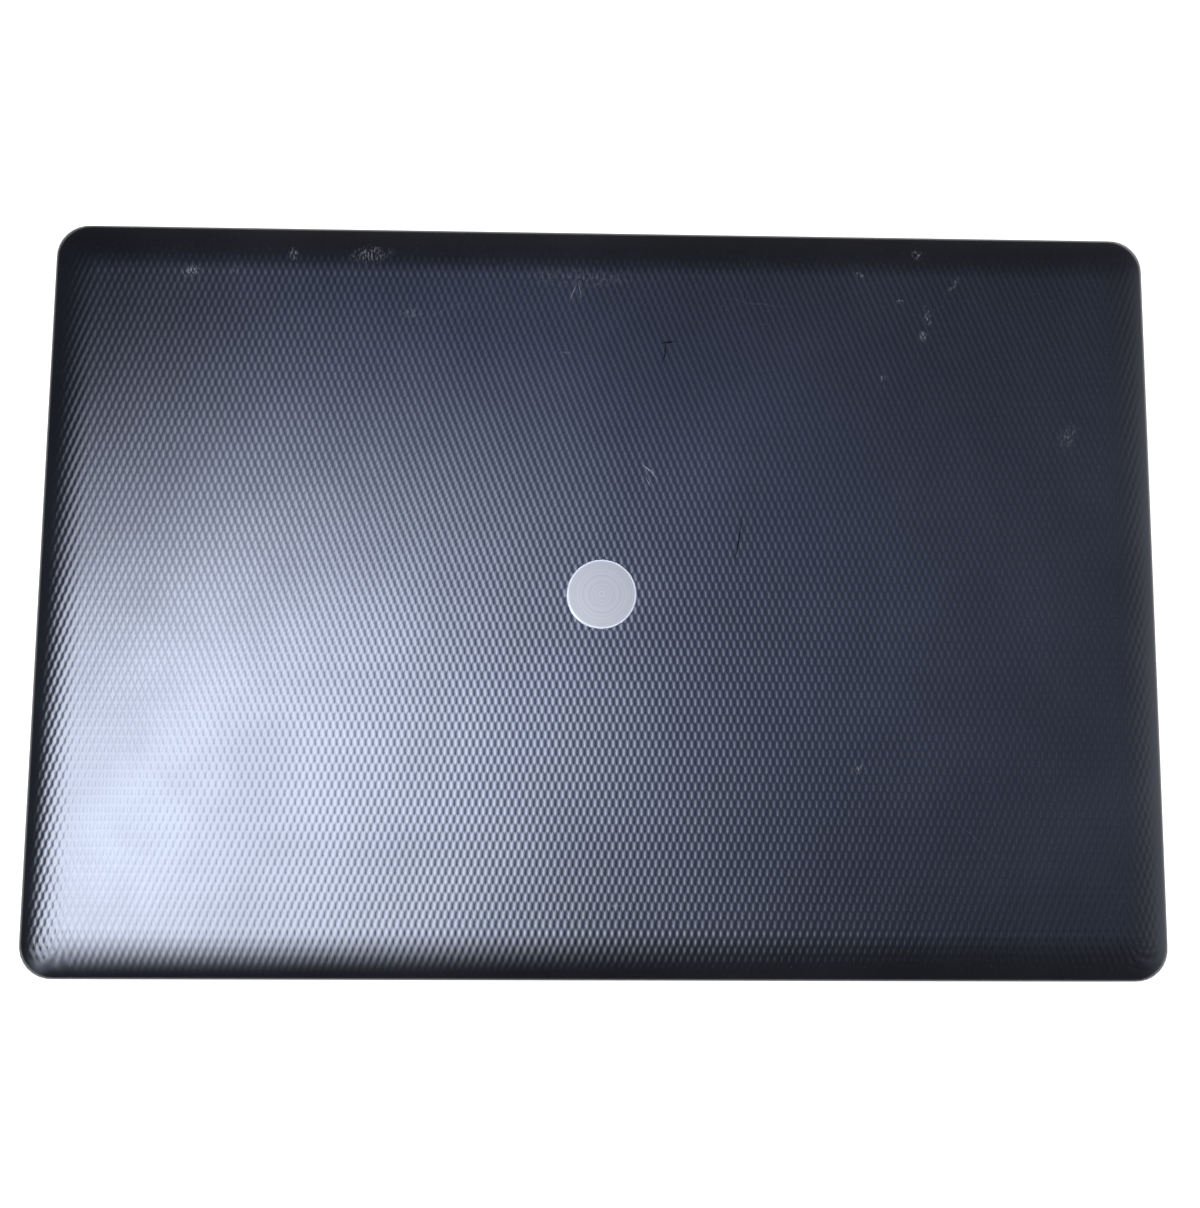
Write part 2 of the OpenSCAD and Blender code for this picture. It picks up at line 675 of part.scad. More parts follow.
module bottom_cover() color([0.09, 0.09, 0.1]) {
    difference() {
        union() {
            difference() {
                translate([0, 0, z_part]) mirror([0, 0, 1])
                    domed_slab(base_w, base_d, base_r, cover_h - roll_h, cover_h, roll_run, 5);
                translate([0, 0, z_floor])
                    slab(2 * inner_x, 2 * inner_y, cover_h, base_r - base_wall);
            }
            for (p = cover_screws)
                translate([p[0], p[1], z_floor - 0.5]) cylinder(r = boss_r, h = cover_h - floor_t + 0.4);
        }
        // screw holes with counterbores for the heads
        for (p = cover_screws) translate([p[0], p[1], z_base - cut]) {
            cylinder(r = screw_head_r + 0.3, h = head_seat + cut);
            cylinder(r = screw_r + 0.3, h = cover_h + 2 * cut);
        }
        // air inlets under the fan, and speaker slots
        translate([fan_x, fan_y, z_base - cut]) vent_field(11, 3, 5, 17, 14);
        translate([fan_x + 150, board_back - 54, z_base - cut]) vent_field(15, 2, 5, 17, 14);
        for (x = [-1, 1]) translate([x * speaker_at[0], speaker_at[1], z_base - cut]) vent_field(7, 1, 5, 1, 9);
        // seats of the feet
        translate([0, 0, z_base - cut]) foot_places() {
            pill(rear_foot_l + 0.2, foot_w + 0.2, 0.4 + cut);
            pill(front_foot_l + 0.2, foot_w + 0.2, 0.4 + cut);
        }
        // notches for the disc drive and the exhaust
        drive_notch(drive_z + 0.3, z_part + cut);
        block([fan_x - fins_w / 2 - 0.2, inner_y - cut, z_floor + 0.8],
            [fan_x + fins_w / 2 + 0.2, half_d + cut, z_part + cut]);
    }
}

module rubber_feet() color([0.06, 0.06, 0.06]) {
    foot_places() {
        pill(rear_foot_l, foot_w, foot_h + 0.4);
        pill(front_foot_l, foot_w, foot_h + 0.4);
    }
}

module key_place(k) {
    // middle of a key, from its place in key units
    translate([keys_x + (k[0] + k[2] / 2) * key_pitch, keys_y - (k[1] + k[3] / 2) * key_pitch, 0]) children();
}

module keyboard_frame() color([0.1, 0.1, 0.11])
    translate([0, 0, frame_z]) linear_extrude(frame_t) difference() {
        translate([keys_x + keys_w / 2, keys_y - keys_d / 2])
            rounded(keys_w + 2 * well_margin - 0.2, keys_d + 2 * well_margin - 0.2, well_r - 0.1);
        for (k = all_keys) key_place(k)
            rounded(k[2] * key_pitch - key_space + 2 * key_clear, k[3] * key_pitch - key_space + 2 * key_clear, 1.6);
    }

module keyboard_plate() color([0.45, 0.46, 0.48])
    difference() {
        block([keys_x - 2.4, keys_y - keys_d - 2.4, plate_z], [keys_x + keys_w + 2.4, keys_y + 2, plate_z + plate_t]);
        for (x = [-150:50:150], y = [0.2, 0.5, 0.8])
            translate([x, keys_y - y * keys_d, plate_z - cut]) cylinder(r = 2, h = 4);
    }

module hinge_bracket() color([0.5, 0.51, 0.53]) {
    low = axis_z - leaf_low;
    difference() {
        union() {
            along_x(eye_in, eye_out, eye_r);
            // neck from the eye down to the leaf, drawn in the plane of the hinge's section
            translate([eye_in, 0, 0]) rotate([90, 0, 90]) linear_extrude(eye_w) translate([axis_y, axis_z])
                polygon([[-1.6, -0.9], [-3.4, -0.75], [-9.6, -leaf_low + leaf_t], [-12, -leaf_low + leaf_t],
                    [-12, -leaf_low], [-9.2, -leaf_low], [-2.6, -2.35]]);
            block([leaf_x[0], axis_y - leaf_front, low], [leaf_x[1], axis_y - leaf_back, low + leaf_t]);
        }
        along_x(eye_in - cut, eye_out + cut, shaft_r + run_clear);
        leaf_bosses() translate([0, 0, -leaf_t - cut]) cylinder(r = screw_r + 0.15, h = leaf_t + 2 * cut);
    }
}

module motherboard() color([0.05, 0.2, 0.12]) {
    difference() {
        block([-inner_x + 0.6, board_front, board_z], [drive_x - 11.1, board_back, board_top]);
        block([fan_x - fan_case - 1, fan_y - fan_case - 1, board_z - cut],
            [fan_x + fan_case + 1, half_d, board_top + cut]);
        block([fan_x + 20, board_front - cut, board_z - cut], [fan_x + 60, board_front + 8, board_top + cut]);
        // headroom of the network socket, which hangs through the board
        block([-half_w, network_y - network_size[1] / 2 - 0.3, board_z - cut],
            [-half_w + network_size[0] + 0.6, network_y + network_size[1] / 2 + 0.3, board_top + cut]);
    }
    // processor and a few large chips
    translate([cpu[0], cpu[1], board_z]) block([-14, -10, -0.7], [14, 10, 0]);
    translate([cpu[0], cpu[1], board_top]) {
        block([-20, -20, 0], [20, 20, 1.4]);
        block([30, 12, 0], [46, 28, 1.2]);
        block([56, -30, 0], [66, -20, 1.2]);
    }
}

module cpu_heatsink() color([0.72, 0.45, 0.3]) {
    plate_low = pipe_z + pipe_t;
    elbow = [fan_x + fan_case + 6, fins_y - 14];
    // spreader over the processor
    translate([cpu[0], cpu[1], plate_low]) block([-19, -16, 0], [19, 16, board_z - 0.7 - plate_low]);
    // flat pipe to the fins
    translate([0, 0, pipe_z]) linear_extrude(pipe_t) {
        pipe_leg([cpu[0] - 6, cpu[1] - 12], elbow);
        pipe_leg(elbow, [elbow[0] - 2, fins_y]);
        pipe_leg([elbow[0] - 2, fins_y], [fan_x - fins_w / 2 + 4, fins_y]);
    }
    // fins on a base strip
    translate([fan_x, fins_y, plate_low - 0.1]) block([-fins_w / 2, -fins_d / 2, 0], [fins_w / 2 - 0.8, fins_d / 2, 0.5]);
    count = floor((fins_w - 1) / fin_pitch);
    for (i = [0:count])
        translate([fan_x - fins_w / 2 + 0.3 + i * fin_pitch, fins_y - fins_d / 2, plate_low])
            cube([0.4, fins_d, 3.3]);
}

module pipe_leg(a, b) {
    // one straight stretch of the heat pipe, with round ends
    translate(a) rotate(atan2(b[1] - a[1], b[0] - a[0]))
        translate([norm(b - a) / 2, 0]) square([norm(b - a), pipe_w], center = true);
    for (p = [a, b]) translate(p) circle(pipe_w / 2 + 0.15);
}

module fan_outline(r, back) {
    circle(r);
    translate([-r, 0]) square([2 * r, back]);
}

module fan_housing() color([0.12, 0.12, 0.13])
    translate([fan_x, fan_y, fan_z]) {
        difference() {
            linear_extrude(fan_h) fan_outline(fan_case - 0.5, fan_case - 0.5);
            translate([0, 0, fan_skin])
                linear_extrude(fan_h - 2 * fan_skin) fan_outline(fan_case - 1.5, fan_case + 1);
            for (z = [-cut, fan_h - fan_skin - cut])
                translate([0, 0, z]) difference() {
                    cylinder(r = fan_r - 6, h = fan_skin + 2 * cut);
                    translate([0, 0, -cut]) cylinder(r = 9, h = 4 * cut);
                    for (a = [0:120:240]) rotate(a) translate([0, -1.5, -cut]) cube([fan_r, 3, 4 * cut]);
                }
        }
        cylinder(r = axle_r, h = fan_h - fan_skin);
    }

module fan_rotor() color([0.2, 0.2, 0.22])
    translate([fan_x, fan_y, fan_z + fan_skin + 0.5]) {
        h = fan_h - 2 * fan_skin - 1;
        difference() {
            union() {
                cylinder(r = 11, h = h);
                for (i = [0:blade_count - 1]) rotate(360 * i / blade_count)
                    translate([10, 0, 0.6]) rotate(-18) translate([0, -0.35, 0]) cube([fan_r - 11, 0.7, h - 1]);
                difference() {
                    cylinder(r = fan_r - 1, h = 0.7);
                    translate([0, 0, -cut]) cylinder(r = fan_r - 3, h = 3);
                }
                for (i = [0:blade_count - 1]) rotate(360 * i / blade_count)
                    translate([10, 0, 0]) rotate(-18) translate([0, -0.35, 0]) cube([fan_r - 11.5, 0.7, 0.8]);
            }
            translate([0, 0, -cut]) cylinder(r = axle_r + run_clear, h = h + 2 * cut);
        }
    }

module memory_modules() color([0.06, 0.22, 0.13])
    for (y = [90, 56]) translate([drive_x - 83.1, board_back - y, board_z - 3.4]) {
        block([0, 0, 1.2], [67.6, 30, 2.2]);
        for (i = [0:3]) translate([7 + 15 * i, 8, 2.2]) cube([10, 12, 1]);
        // edge socket
        block([-1.5, -4, 0], [69, -0.1, 3.3]);
    }

module solid_state_drive() color([0.08, 0.1, 0.14])
    translate([fan_x + 28, board_back - 98, board_z - 3.2]) {
        block([0, 0, 1.1], [22, 42, 1.9]);
        block([3, 6, 0.1], [19, 18, 1.1]);
        block([3, 22, 0.1], [19, 36, 1.1]);
        block([0, -4, 0], [22, -0.1, 3.1]);
    }

module hard_drive() color([0.6, 0.61, 0.64])
    translate([-inner_x + 8, drive_front - 1, z_floor + 0.2]) {
        block([1, 0, 0.4], [71, 100, 7.2]);
        // bracket ears
        for (x = [0, 71], y = [12, 76]) translate([x, y, 0]) cube([1, 12, 7.2]);
    }

module battery_pack() color([0.08, 0.08, 0.09])
    translate([battery_x, -inner_y + 11.2, z_floor + 0.2]) {
        cell = (battery_w - 1) / 3;
        depth = board_front - 36 + inner_y - 19.2;
        for (i = [0:2]) translate([1 + cell * i, 8, 0]) slab_from_corner(cell - 1, depth, 6.4, 3);
        // circuit strip along the front of the cells
        block([0, 0, 0], [battery_w, 7.9, 4.6]);
    }

module slab_from_corner(w, d, h, r) {
    translate([w / 2, d / 2, 0]) slab(w, d, h, r);
}

module wireless_card() color([0.06, 0.2, 0.14])
    translate([drive_x - 5.1, drive_back + 9, z_floor + 0.1]) {
        block([0, 0, 0], [24, 34, 2.2]);
        block([1, 1, 2.2], [23, 31, 3.2]);
        block([3, 5, 3.2], [21, 24, 4.6]);
    }

module speakers() color([0.1, 0.1, 0.11])
    for (s = [-1, 1]) translate([s * speaker_at[0], speaker_at[1], z_floor + 0.1]) {
        slab(64, 19, 6, 2);
        translate([0, 0, 6]) cylinder(r = 7, h = 0.8);
    }

module io_board() color([0.05, 0.2, 0.12]) {
    front = drive_back + 11;
    back = axis_y - leaf_front - 10.7;
    block([inner_x - 59.3, front, board_z], [inner_x - 0.6, back, board_top]);
    block([inner_x - 55.3, back - 22, board_top], [inner_x - 35.3, back - 6, board_top + 1.6]);
    // standoffs on the bottom cover
    for (y = [front + 10, back - 10]) translate([inner_x - 53.3, y, z_floor]) cylinder(r = 2.4, h = board_z - z_floor);
}

module socket_shell(size, t) {
    // sheet-metal socket, open to the outside, in a frame with +X into the laptop
    difference() {
        block([0, -size[1] / 2, 0], [size[0], size[1] / 2, size[2]]);
        block([-cut, -size[1] / 2 + t, t], [size[0] - t, size[1] / 2 - t, size[2] - t]);
    }
}

module at_left(y) {
    translate([-half_w + face_in, y, board_top]) children();
}

module at_right(y) {
    translate([half_w - face_in, y, board_top]) mirror([1, 0, 0]) children();
}

module usb_socket() {
    socket_shell(usb_size, 0.3);
    // contact tongue
    block([1, -5.5, usb_size[2] - 2.7], [usb_size[0] - 0.2, 5.5, usb_size[2] - 0.9]);
}

module usb_sockets() color([0.7, 0.71, 0.73]) {
    for (y = usb_left_y) at_left(y) usb_socket();
    at_right(usb_right_y) usb_socket();
}

module video_socket() color([0.68, 0.69, 0.71])
    at_left(video_y) {
        socket_shell(video_size, 0.35);
        block([1.2, -5.4, 2.2], [video_size[0] - 0.2, 5.4, 3.4]);
    }

module network_socket() color([0.14, 0.14, 0.15])
    translate([-half_w + face_in, network_y, board_top]) {
        low = z_floor + 0.3 - board_top;
        difference() {
            union() {
                block([base_wall, -network_size[1] / 2, low],
                    [network_size[0], network_size[1] / 2, network_size[2]]);
                block([0, -network_size[1] / 2, 0], [base_wall + 0.2, network_size[1] / 2, network_size[2]]);
            }
            block([-cut, -5.9, 0.4], [14, 5.9, 6.7]);
            // room for the plug's latch
            block([-cut, -3.2, -cut], [14, 3.2, 0.6]);
        }
        // contacts
        for (i = [0:7]) translate([7, -3.75 + i * 1.02, 6]) cube([7.2, 0.4, 0.8]);
    }

module round_socket(size, nose) {
    // block behind the wall, with a round nose that fills the wall's hole
    back = base_wall + nose_pad + 0.1;
    block([back, -size[1] / 2, 0], [size[0], size[1] / 2, size[2]]);
    translate([0, 0, size[2] / 2]) rotate([0, 90, 0]) cylinder(r = nose, h = back + 0.5);
}

module headset_socket() color([0.1, 0.1, 0.1])
    at_left(headset_y) difference() {
        round_socket(headset_size, headset_nose);
        translate([-cut, 0, headset_size[2] / 2]) rotate([0, 90, 0]) cylinder(r = headset_r, h = headset_l + cut);
    }

module power_socket() color([0.1, 0.1, 0.1])
    at_left(power_sy) {
        mid = power_size[2] / 2;
        difference() {
            round_socket(power_size, power_nose);
            translate([-cut, 0, mid]) rotate([0, 90, 0]) cylinder(r = power_r, h = power_mouth + cut);
            translate([power_mouth - 0.01, 0, mid]) rotate([0, 90, 0]) cylinder(r = power_r + 0.3, h = 7);
        }
        // centre pin
        translate([power_mouth + 1.4, 0, mid]) rotate([0, 90, 0]) cylinder(r = 0.4, h = power_size[0] - power_mouth - 2);
    }

module card_reader() color([0.66, 0.67, 0.69])
    at_right(card_y) {
        difference() {
            block([0, -card_size[1] / 2, 0], [card_size[0], card_size[1] / 2, card_size[2]]);
            block([-cut, -12.2, 0.6], [card_size[0] - 1, 12.2, 3]);
        }
    }

module exhaust_grille() color([0.08, 0.08, 0.09]) {
    w = fins_w;
    difference() {
        block([fan_x - w / 2, inner_y + 0.1, z_floor + 1], [fan_x + w / 2, half_d - 0.2, z_part - 0.1]);
        count = floor((w - 4) / 4);
        for (i = [0:count - 1])
            translate([fan_x + (i - (count - 1) / 2) * 4 - slot_w / 2, inner_y - cut, z_floor + 1.6])
                cube([slot_w, base_wall + 2 * cut, z_part - z_floor - 2.4]);
    }
}

module drive_housing() color([0.66, 0.67, 0.7]) {
    // folded sheet-metal case, open at the tray's end
    difference() {
        block([drive_x, drive_y - drive_w / 2, drive_z], [inner_x - 0.2, drive_y + drive_w / 2, drive_z + drive_h]);
        block([drive_x + drive_skin, drive_y - drive_w / 2 + drive_skin, drive_z + drive_skin],
            [inner_x + cut, drive_y + drive_w / 2 - drive_skin, drive_z + drive_h - drive_skin]);
    }
}

module drive_rails() color([0.75, 0.76, 0.78])
    for (s = [-1, 1])
        translate([0, drive_y + s * (drive_w / 2 - drive_skin - 0.3 - rail_w / 2), tray_z + 1])
            block([drive_x + 6, -rail_w / 2, 0], [inner_x - 12, rail_w / 2, rail_h]);

module drive_tray() color([0.12, 0.12, 0.13]) {
    difference() {
        union() {
            block([tray_in, drive_y - tray_w / 2, tray_z], [bezel_in + 0.1, drive_y + tray_w / 2, tray_top]);
            block([bezel_in, drive_y - drive_w / 2, drive_z + 0.5],
                [half_w - 0.1, drive_y + drive_w / 2, drive_z + 0.5 + bezel_h]);
        }
        // disc well, pickup window and spindle seat
        translate([disc_x, drive_y, tray_top - 1.8]) cylinder(d = disc_d + 0.8, h = 3);
        translate([disc_x + 14, drive_y - 14, tray_top - 3.4]) rotate(-40) slab(46, 26, 3, 3);
        translate([disc_x, drive_y, tray_z + 1.2]) cylinder(r = 13.6, h = tray_t);
        // eject button's hole
        translate([bezel_in - 3, eject_y, drive_z + 5]) rotate([0, 90, 0]) linear_extrude(8) square([2.6, 9.6], center = true);
    }
    // spindle axle and pickup lens
    translate([disc_x, drive_y, tray_z + 1]) cylinder(r = 1.2, h = 2.6);
    translate([disc_x + 18, drive_y - 18, tray_top - 3.5]) cylinder(r = 3.4, h = 1.2);
}

module eject_button() color([0.2, 0.2, 0.21])
    translate([bezel_in - 1.4, eject_y, drive_z + 5]) {
        block([0, -4.6, -1.1], [half_w - bezel_in + 1.2, 4.6, 1.1]);
    }

module disc_spindle() color([0.7, 0.71, 0.72])
    translate([disc_x, drive_y, tray_z + 1.4]) difference() {
        union() {
            cylinder(r = 13.2, h = 2.2);
            translate([0, 0, 2.1]) cylinder(r = 7.3, h = 1.6);
            translate([0, 0, 3.6]) cylinder(r1 = 7.3, r2 = 6, h = 0.6, $fn = 72);
        }
        translate([0, 0, -cut]) cylinder(r = 1.2 + run_clear, h = 2.4 + cut);
    }

module backup_cell() color([0.76, 0.77, 0.79])
    translate([drive_x - 27.1, board_back - 10, board_top + 0.05]) cylinder(r = 10, h = 3);

module base_screws() color([0.35, 0.35, 0.37]) {
    for (p = cover_screws) translate([p[0], p[1], z_base + head_seat - screw_head_h]) difference() {
        union() {
            cylinder(r = screw_head_r, h = screw_head_h);
            cylinder(r = screw_r, h = screw_head_h + cover_h - head_seat + 5);
        }
        // cross recess
        for (a = [0, 90]) rotate(a) translate([-1.5, -0.35, -cut]) cube([3, 0.7, cut + 0.8]);
    }
    mirrored() leaf_bosses() translate([0, 0, -leaf_t]) {
        translate([0, 0, -0.9]) cylinder(r = 2.3, h = 0.9);
        translate([0, 0, -0.1]) cylinder(r = screw_r - 0.25, h = leaf_t + 1.4);
    }
}

module touchpad_bracket() color([0.5, 0.51, 0.53]) {
    reach = 9;
    low = pad_flange_z - pad_travel - 0.8;
    for (y = [-0.3, 0.3])
        translate([pad_x, pad_y + y * pad_d, low])
            block([-pad_w / 2 - reach, -7, 0], [pad_w / 2 + reach, 7, 0.6]);
    translate([pad_x, pad_y, low]) block([-7, -pad_d * 0.3 + 7, 0], [7, pad_d * 0.3 - 7, 0.6]);
    for (x = [-1, 1], y = [-0.3, 0.3])
        translate([pad_x + x * (pad_w / 2 + reach - 2.6), pad_y + y * pad_d, low + 0.6])
            cylinder(r = 2.4, h = z_under - low - 0.6);
}

module internal_cables() color([0.85, 0.55, 0.15]) {
    // keyboard ribbon
    block([20, board_back - 50, board_top], [46, board_back - 49.7, plate_z]);
    block([20, board_back - 49.7, board_top], [46, board_back - 45, board_top + 0.9]);
    // touchpad ribbon
    block([-72, board_front + 1, board_top], [-60, board_front + 6, board_top + 0.9]);
    // battery lead
    block([10, board_front - 30, z_floor + 3.2], [24, board_front + 2, z_floor + 3.6]);
}

module touchpad() color([0.1, 0.1, 0.11])
    translate([pad_x, pad_y, 0]) {
        translate([0, 0, pad_flange_z]) slab(pad_w, pad_d, pad_top - pad_flange_z, 2.6);
        translate([0, 0, pad_flange_z]) slab(pad_w + 2 * pad_flange, pad_d + 2 * pad_flange, pad_flange_t, 3);
    }

module power_button() color([0.12, 0.12, 0.13])
    translate([power_x, power_y, 0]) {
        translate([0, 0, z_under - 1]) pill(power_w, power_d, power_top - z_under + 1);
        translate([0, 0, z_under - 1.1]) pill(power_w + 3, power_d + 3, 0.9);
    }

module keycap(k) {
    w = k[2] * key_pitch - key_space;
    d = k[3] * key_pitch - key_space;
    key_place(k) hull() {
        keycap_slice(w, d, key_bottom);
        keycap_slice(w - 0.4, d - 0.4, key_top - 0.7);
        keycap_slice(w - 1.8, d - 1.8, key_top - sliver);
    }
}

module keycap_slice(w, d, z) {
    for (x = [-1, 1], y = [-1, 1])
        translate([x * (w / 2 - 1.4), y * (d / 2 - 1.4), z]) cylinder(r = 1.4, h = sliver, $fn = key_fn);
}

module keycaps(keys) color([0.08, 0.08, 0.09])
    for (k = keys) keycap(k);

// ---------- nodes ----------

lid_back_cover();
lid_badge();
display_panel();
display_bezel();
lid_bumpers();
camera_module();
hinge_cover();
mirror([1, 0, 0]) hinge_arm();  // hinge_arm_left
hinge_arm();  // hinge_arm_right
hinge_washers();
display_cable();
antennas();
lid_screws();
palmrest();
bottom_cover();
rubber_feet();
keyboard_frame();
keyboard_plate();
mirror([1, 0, 0]) hinge_bracket();  // hinge_bracket_left
hinge_bracket();  // hinge_bracket_right
motherboard();
cpu_heatsink();
fan_housing();
memory_modules();
solid_state_drive();
hard_drive();
battery_pack();
wireless_card();
speakers();
io_board();
usb_sockets();
video_socket();
network_socket();
headset_socket();
power_socket();
card_reader();
exhaust_grille();
drive_housing();
backup_cell();
base_screws();
touchpad_bracket();
internal_cables();
touchpad();
power_button();
fan_rotor();
drive_tray();
drive_rails();
eject_button();
disc_spindle();
keycaps(keys_space);  // space_bar
keycaps(keys_enter);  // enter_key
keycaps(keys_shift);  // left_shift_key
keycaps(keys_function);  // function_row_keys
keycaps(keys_number);  // number_row_keys
keycaps(keys_top);  // top_letter_row_keys
keycaps(keys_home);  // home_letter_row_keys
keycaps(keys_bottom);  // bottom_letter_row_keys
keycaps(keys_modifier);  // modifier_row_keys
keycaps(keys_arrow);  // arrow_keys
keycaps(keys_pad);  // number_pad_keys
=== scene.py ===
import bpy, bmesh, json, math
import numpy as np
from mathutils import Matrix, Vector


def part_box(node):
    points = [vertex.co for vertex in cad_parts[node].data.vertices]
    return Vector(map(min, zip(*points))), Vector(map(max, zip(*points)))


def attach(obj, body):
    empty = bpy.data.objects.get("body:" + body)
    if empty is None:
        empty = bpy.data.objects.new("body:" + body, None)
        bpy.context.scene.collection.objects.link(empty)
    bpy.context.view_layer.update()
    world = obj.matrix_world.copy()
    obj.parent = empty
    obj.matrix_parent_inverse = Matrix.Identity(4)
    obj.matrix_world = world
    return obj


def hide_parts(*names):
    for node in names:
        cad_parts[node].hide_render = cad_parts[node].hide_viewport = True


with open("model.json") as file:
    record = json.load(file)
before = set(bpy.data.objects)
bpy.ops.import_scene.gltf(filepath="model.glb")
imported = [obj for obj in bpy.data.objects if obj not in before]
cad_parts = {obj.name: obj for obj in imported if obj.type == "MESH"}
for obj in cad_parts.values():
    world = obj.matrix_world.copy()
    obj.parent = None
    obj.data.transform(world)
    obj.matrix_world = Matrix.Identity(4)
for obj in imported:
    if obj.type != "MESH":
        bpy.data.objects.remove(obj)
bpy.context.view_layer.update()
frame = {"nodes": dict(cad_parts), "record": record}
nodes = frame["nodes"]
mm = 0.001


# camera: looks almost straight down on the closed lid, free edge at the top of the frame
cameraSetup = {
    "longSide": 1208,               # of the frame, in pixels
    "focalPixels": 1000.0,          # focal length in the same pixels
    "sensor": 36,                   # width in mm
    "turn": (-4.85, 0.99, -0.51),   # tilt about the frame's x, y and z, in degrees
    "offset": (0.55, 3.2, 373.4),   # object's middle in the camera's frame, and distance, in mm
    "plane": 19.6,                  # height of the outline that these are measured to, in mm
}


def makeCamera(setup):
    tilt = [math.radians(a) for a in setup["turn"]]
    turned = Matrix.Rotation(tilt[2], 3, "Z") @ Matrix.Rotation(tilt[1], 3, "Y") @ Matrix.Rotation(tilt[0], 3, "X")
    halfTurn = Matrix.Diagonal((-1, -1, 1)).to_3x3()      # the frame's right is the laptop's left
    toCamera = turned @ halfTurn
    offset = Vector((setup["offset"][0], setup["offset"][1], -setup["offset"][2])) * mm
    place = -(toCamera.transposed() @ offset) + Vector((0, 0, setup["plane"] * mm))
    data = bpy.data.cameras.new("camera")
    data.sensor_width = setup["sensor"]
    data.lens = setup["sensor"] * setup["focalPixels"] / setup["longSide"]
    camera = bpy.data.objects.new("camera", data)
    camera.matrix_world = Matrix.Translation(place) @ toCamera.transposed().to_4x4()
    bpy.context.scene.collection.objects.link(camera)
    bpy.context.scene.camera = camera


makeCamera(cameraSetup)
print("camera made")


# materials: one small builder, then one recipe for each finish

def newMaterial(name, colour, roughness, metallic=0.0, ior=1.45):
    material = bpy.data.materials.new(name)
    material.use_nodes = True
    shader = material.node_tree.nodes["Principled BSDF"]
    shader.inputs["Base Color"].default_value = (*colour, 1)
    shader.inputs["Roughness"].default_value = roughness
    shader.inputs["Metallic"].default_value = metallic
    shader.inputs["IOR"].default_value = ior
    return material, shader


def addNode(material, kind, **settings):
    node = material.node_tree.nodes.new(kind)
    for key, value in settings.items():
        if hasattr(node, key):
            setattr(node, key, value)
        else:
            node.inputs[key].default_value = value
    return node


def join(material, source, target):
    material.node_tree.links.new(source, target)


def feed(material, source, target):
    # source is another node's output, a plain number or a colour
    if isinstance(source, bpy.types.NodeSocket):
        join(material, source, target)
    else:
        target.default_value = (*source, 1) if isinstance(source, tuple) else source


def place(material):
    return addNode(material, "ShaderNodeTexCoord").outputs["Object"]


def scaled(material, vector, scale):
    mapping = addNode(material, "ShaderNodeMapping")
    mapping.inputs["Scale"].default_value = scale
    join(material, vector, mapping.inputs["Vector"])
    return mapping.outputs["Vector"]


def noise(material, vector, scale, detail=3.0, rough=0.55):
    node = addNode(material, "ShaderNodeTexNoise", Scale=scale, Detail=detail, Roughness=rough)
    join(material, vector, node.inputs["Vector"])
    return node.outputs["Fac"]


def calculate(material, operation, a, b=0.0, clamp=False):
    node = addNode(material, "ShaderNodeMath", operation=operation, use_clamp=clamp)
    feed(material, a, node.inputs[0])
    feed(material, b, node.inputs[1])
    return node.outputs[0]


def remap(material, value, fromLow, fromHigh, toLow, toHigh):
    node = addNode(material, "ShaderNodeMapRange")
    for socket, number in zip(("From Min", "From Max", "To Min", "To Max"), (fromLow, fromHigh, toLow, toHigh)):
        node.inputs[socket].default_value = number
    join(material, value, node.inputs["Value"])
    return node.outputs["Result"]


def blendColours(material, factor, low, high):
    node = addNode(material, "ShaderNodeMix", data_type="RGBA")
    join(material, factor, node.inputs["Factor"])
    feed(material, low, node.inputs[6])
    feed(material, high, node.inputs[7])
    return node.outputs[2]


def addBump(material, shader, height, strength, distance):
    bump = addNode(material, "ShaderNodeBump", Strength=strength, Distance=distance)
    join(material, height, bump.inputs["Height"])
    join(material, bump.outputs["Normal"], shader.inputs["Normal"])


def grainy(name, colour, second, roughness, spread, grain, depth, blotch=25, **extra):
    # moulded or coated surface: blotchy colour, uneven gloss and a fine grain
    material, shader = newMaterial(name, colour, roughness, **extra)
    vector = place(material)
    patches = noise(material, vector, blotch, 4)
    join(material, blendColours(material, patches, colour, second), shader.inputs["Base Color"])
    uneven = noise(material, vector, blotch * 3.1, 5)
    gloss = remap(material, uneven, 0.3, 0.7, roughness - spread, roughness + spread)
    join(material, gloss, shader.inputs["Roughness"])
    addBump(material, shader, noise(material, vector, grain, 2), 1.0, depth * mm)
    return material


def brushed(name, colour, second, roughness, stretch, metallic=1.0):
    # sheet metal with fine lines along one direction
    material, shader = newMaterial(name, colour, roughness, metallic)
    lines = noise(material, scaled(material, place(material), stretch), 1.0, 4, 0.65)
    join(material, blendColours(material, lines, colour, second), shader.inputs["Base Color"])
    join(material, remap(material, lines, 0.3, 0.7, roughness - 0.08, roughness + 0.1), shader.inputs["Roughness"])
    addBump(material, shader, lines, 0.35, 0.01 * mm)
    return material


def looseBoxes(node):
    # box of each separate piece of a CAD node, from rear to front and from left to right
    obj = nodes[node]
    work = bmesh.new()
    work.from_mesh(obj.data)
    bmesh.ops.remove_doubles(work, verts=work.verts, dist=1e-6)
    boxes, seen = [], set()
    for first in work.verts:
        if first in seen:
            continue
        seen.add(first)
        group, queue = [], [first]
        while queue:
            vert = queue.pop()
            group.append(obj.matrix_world @ vert.co)
            for edge in vert.link_edges:
                other = edge.other_vert(vert)
                if other not in seen:
                    seen.add(other)
                    queue.append(other)
        low = [min(point[k] for point in group) for k in range(3)]
        high = [max(point[k] for point in group) for k in range(3)]
        boxes.append((low, high))
    work.free()
    return sorted(boxes, key=lambda box: (-round(box[1][1] * 1000), box[0][0]))


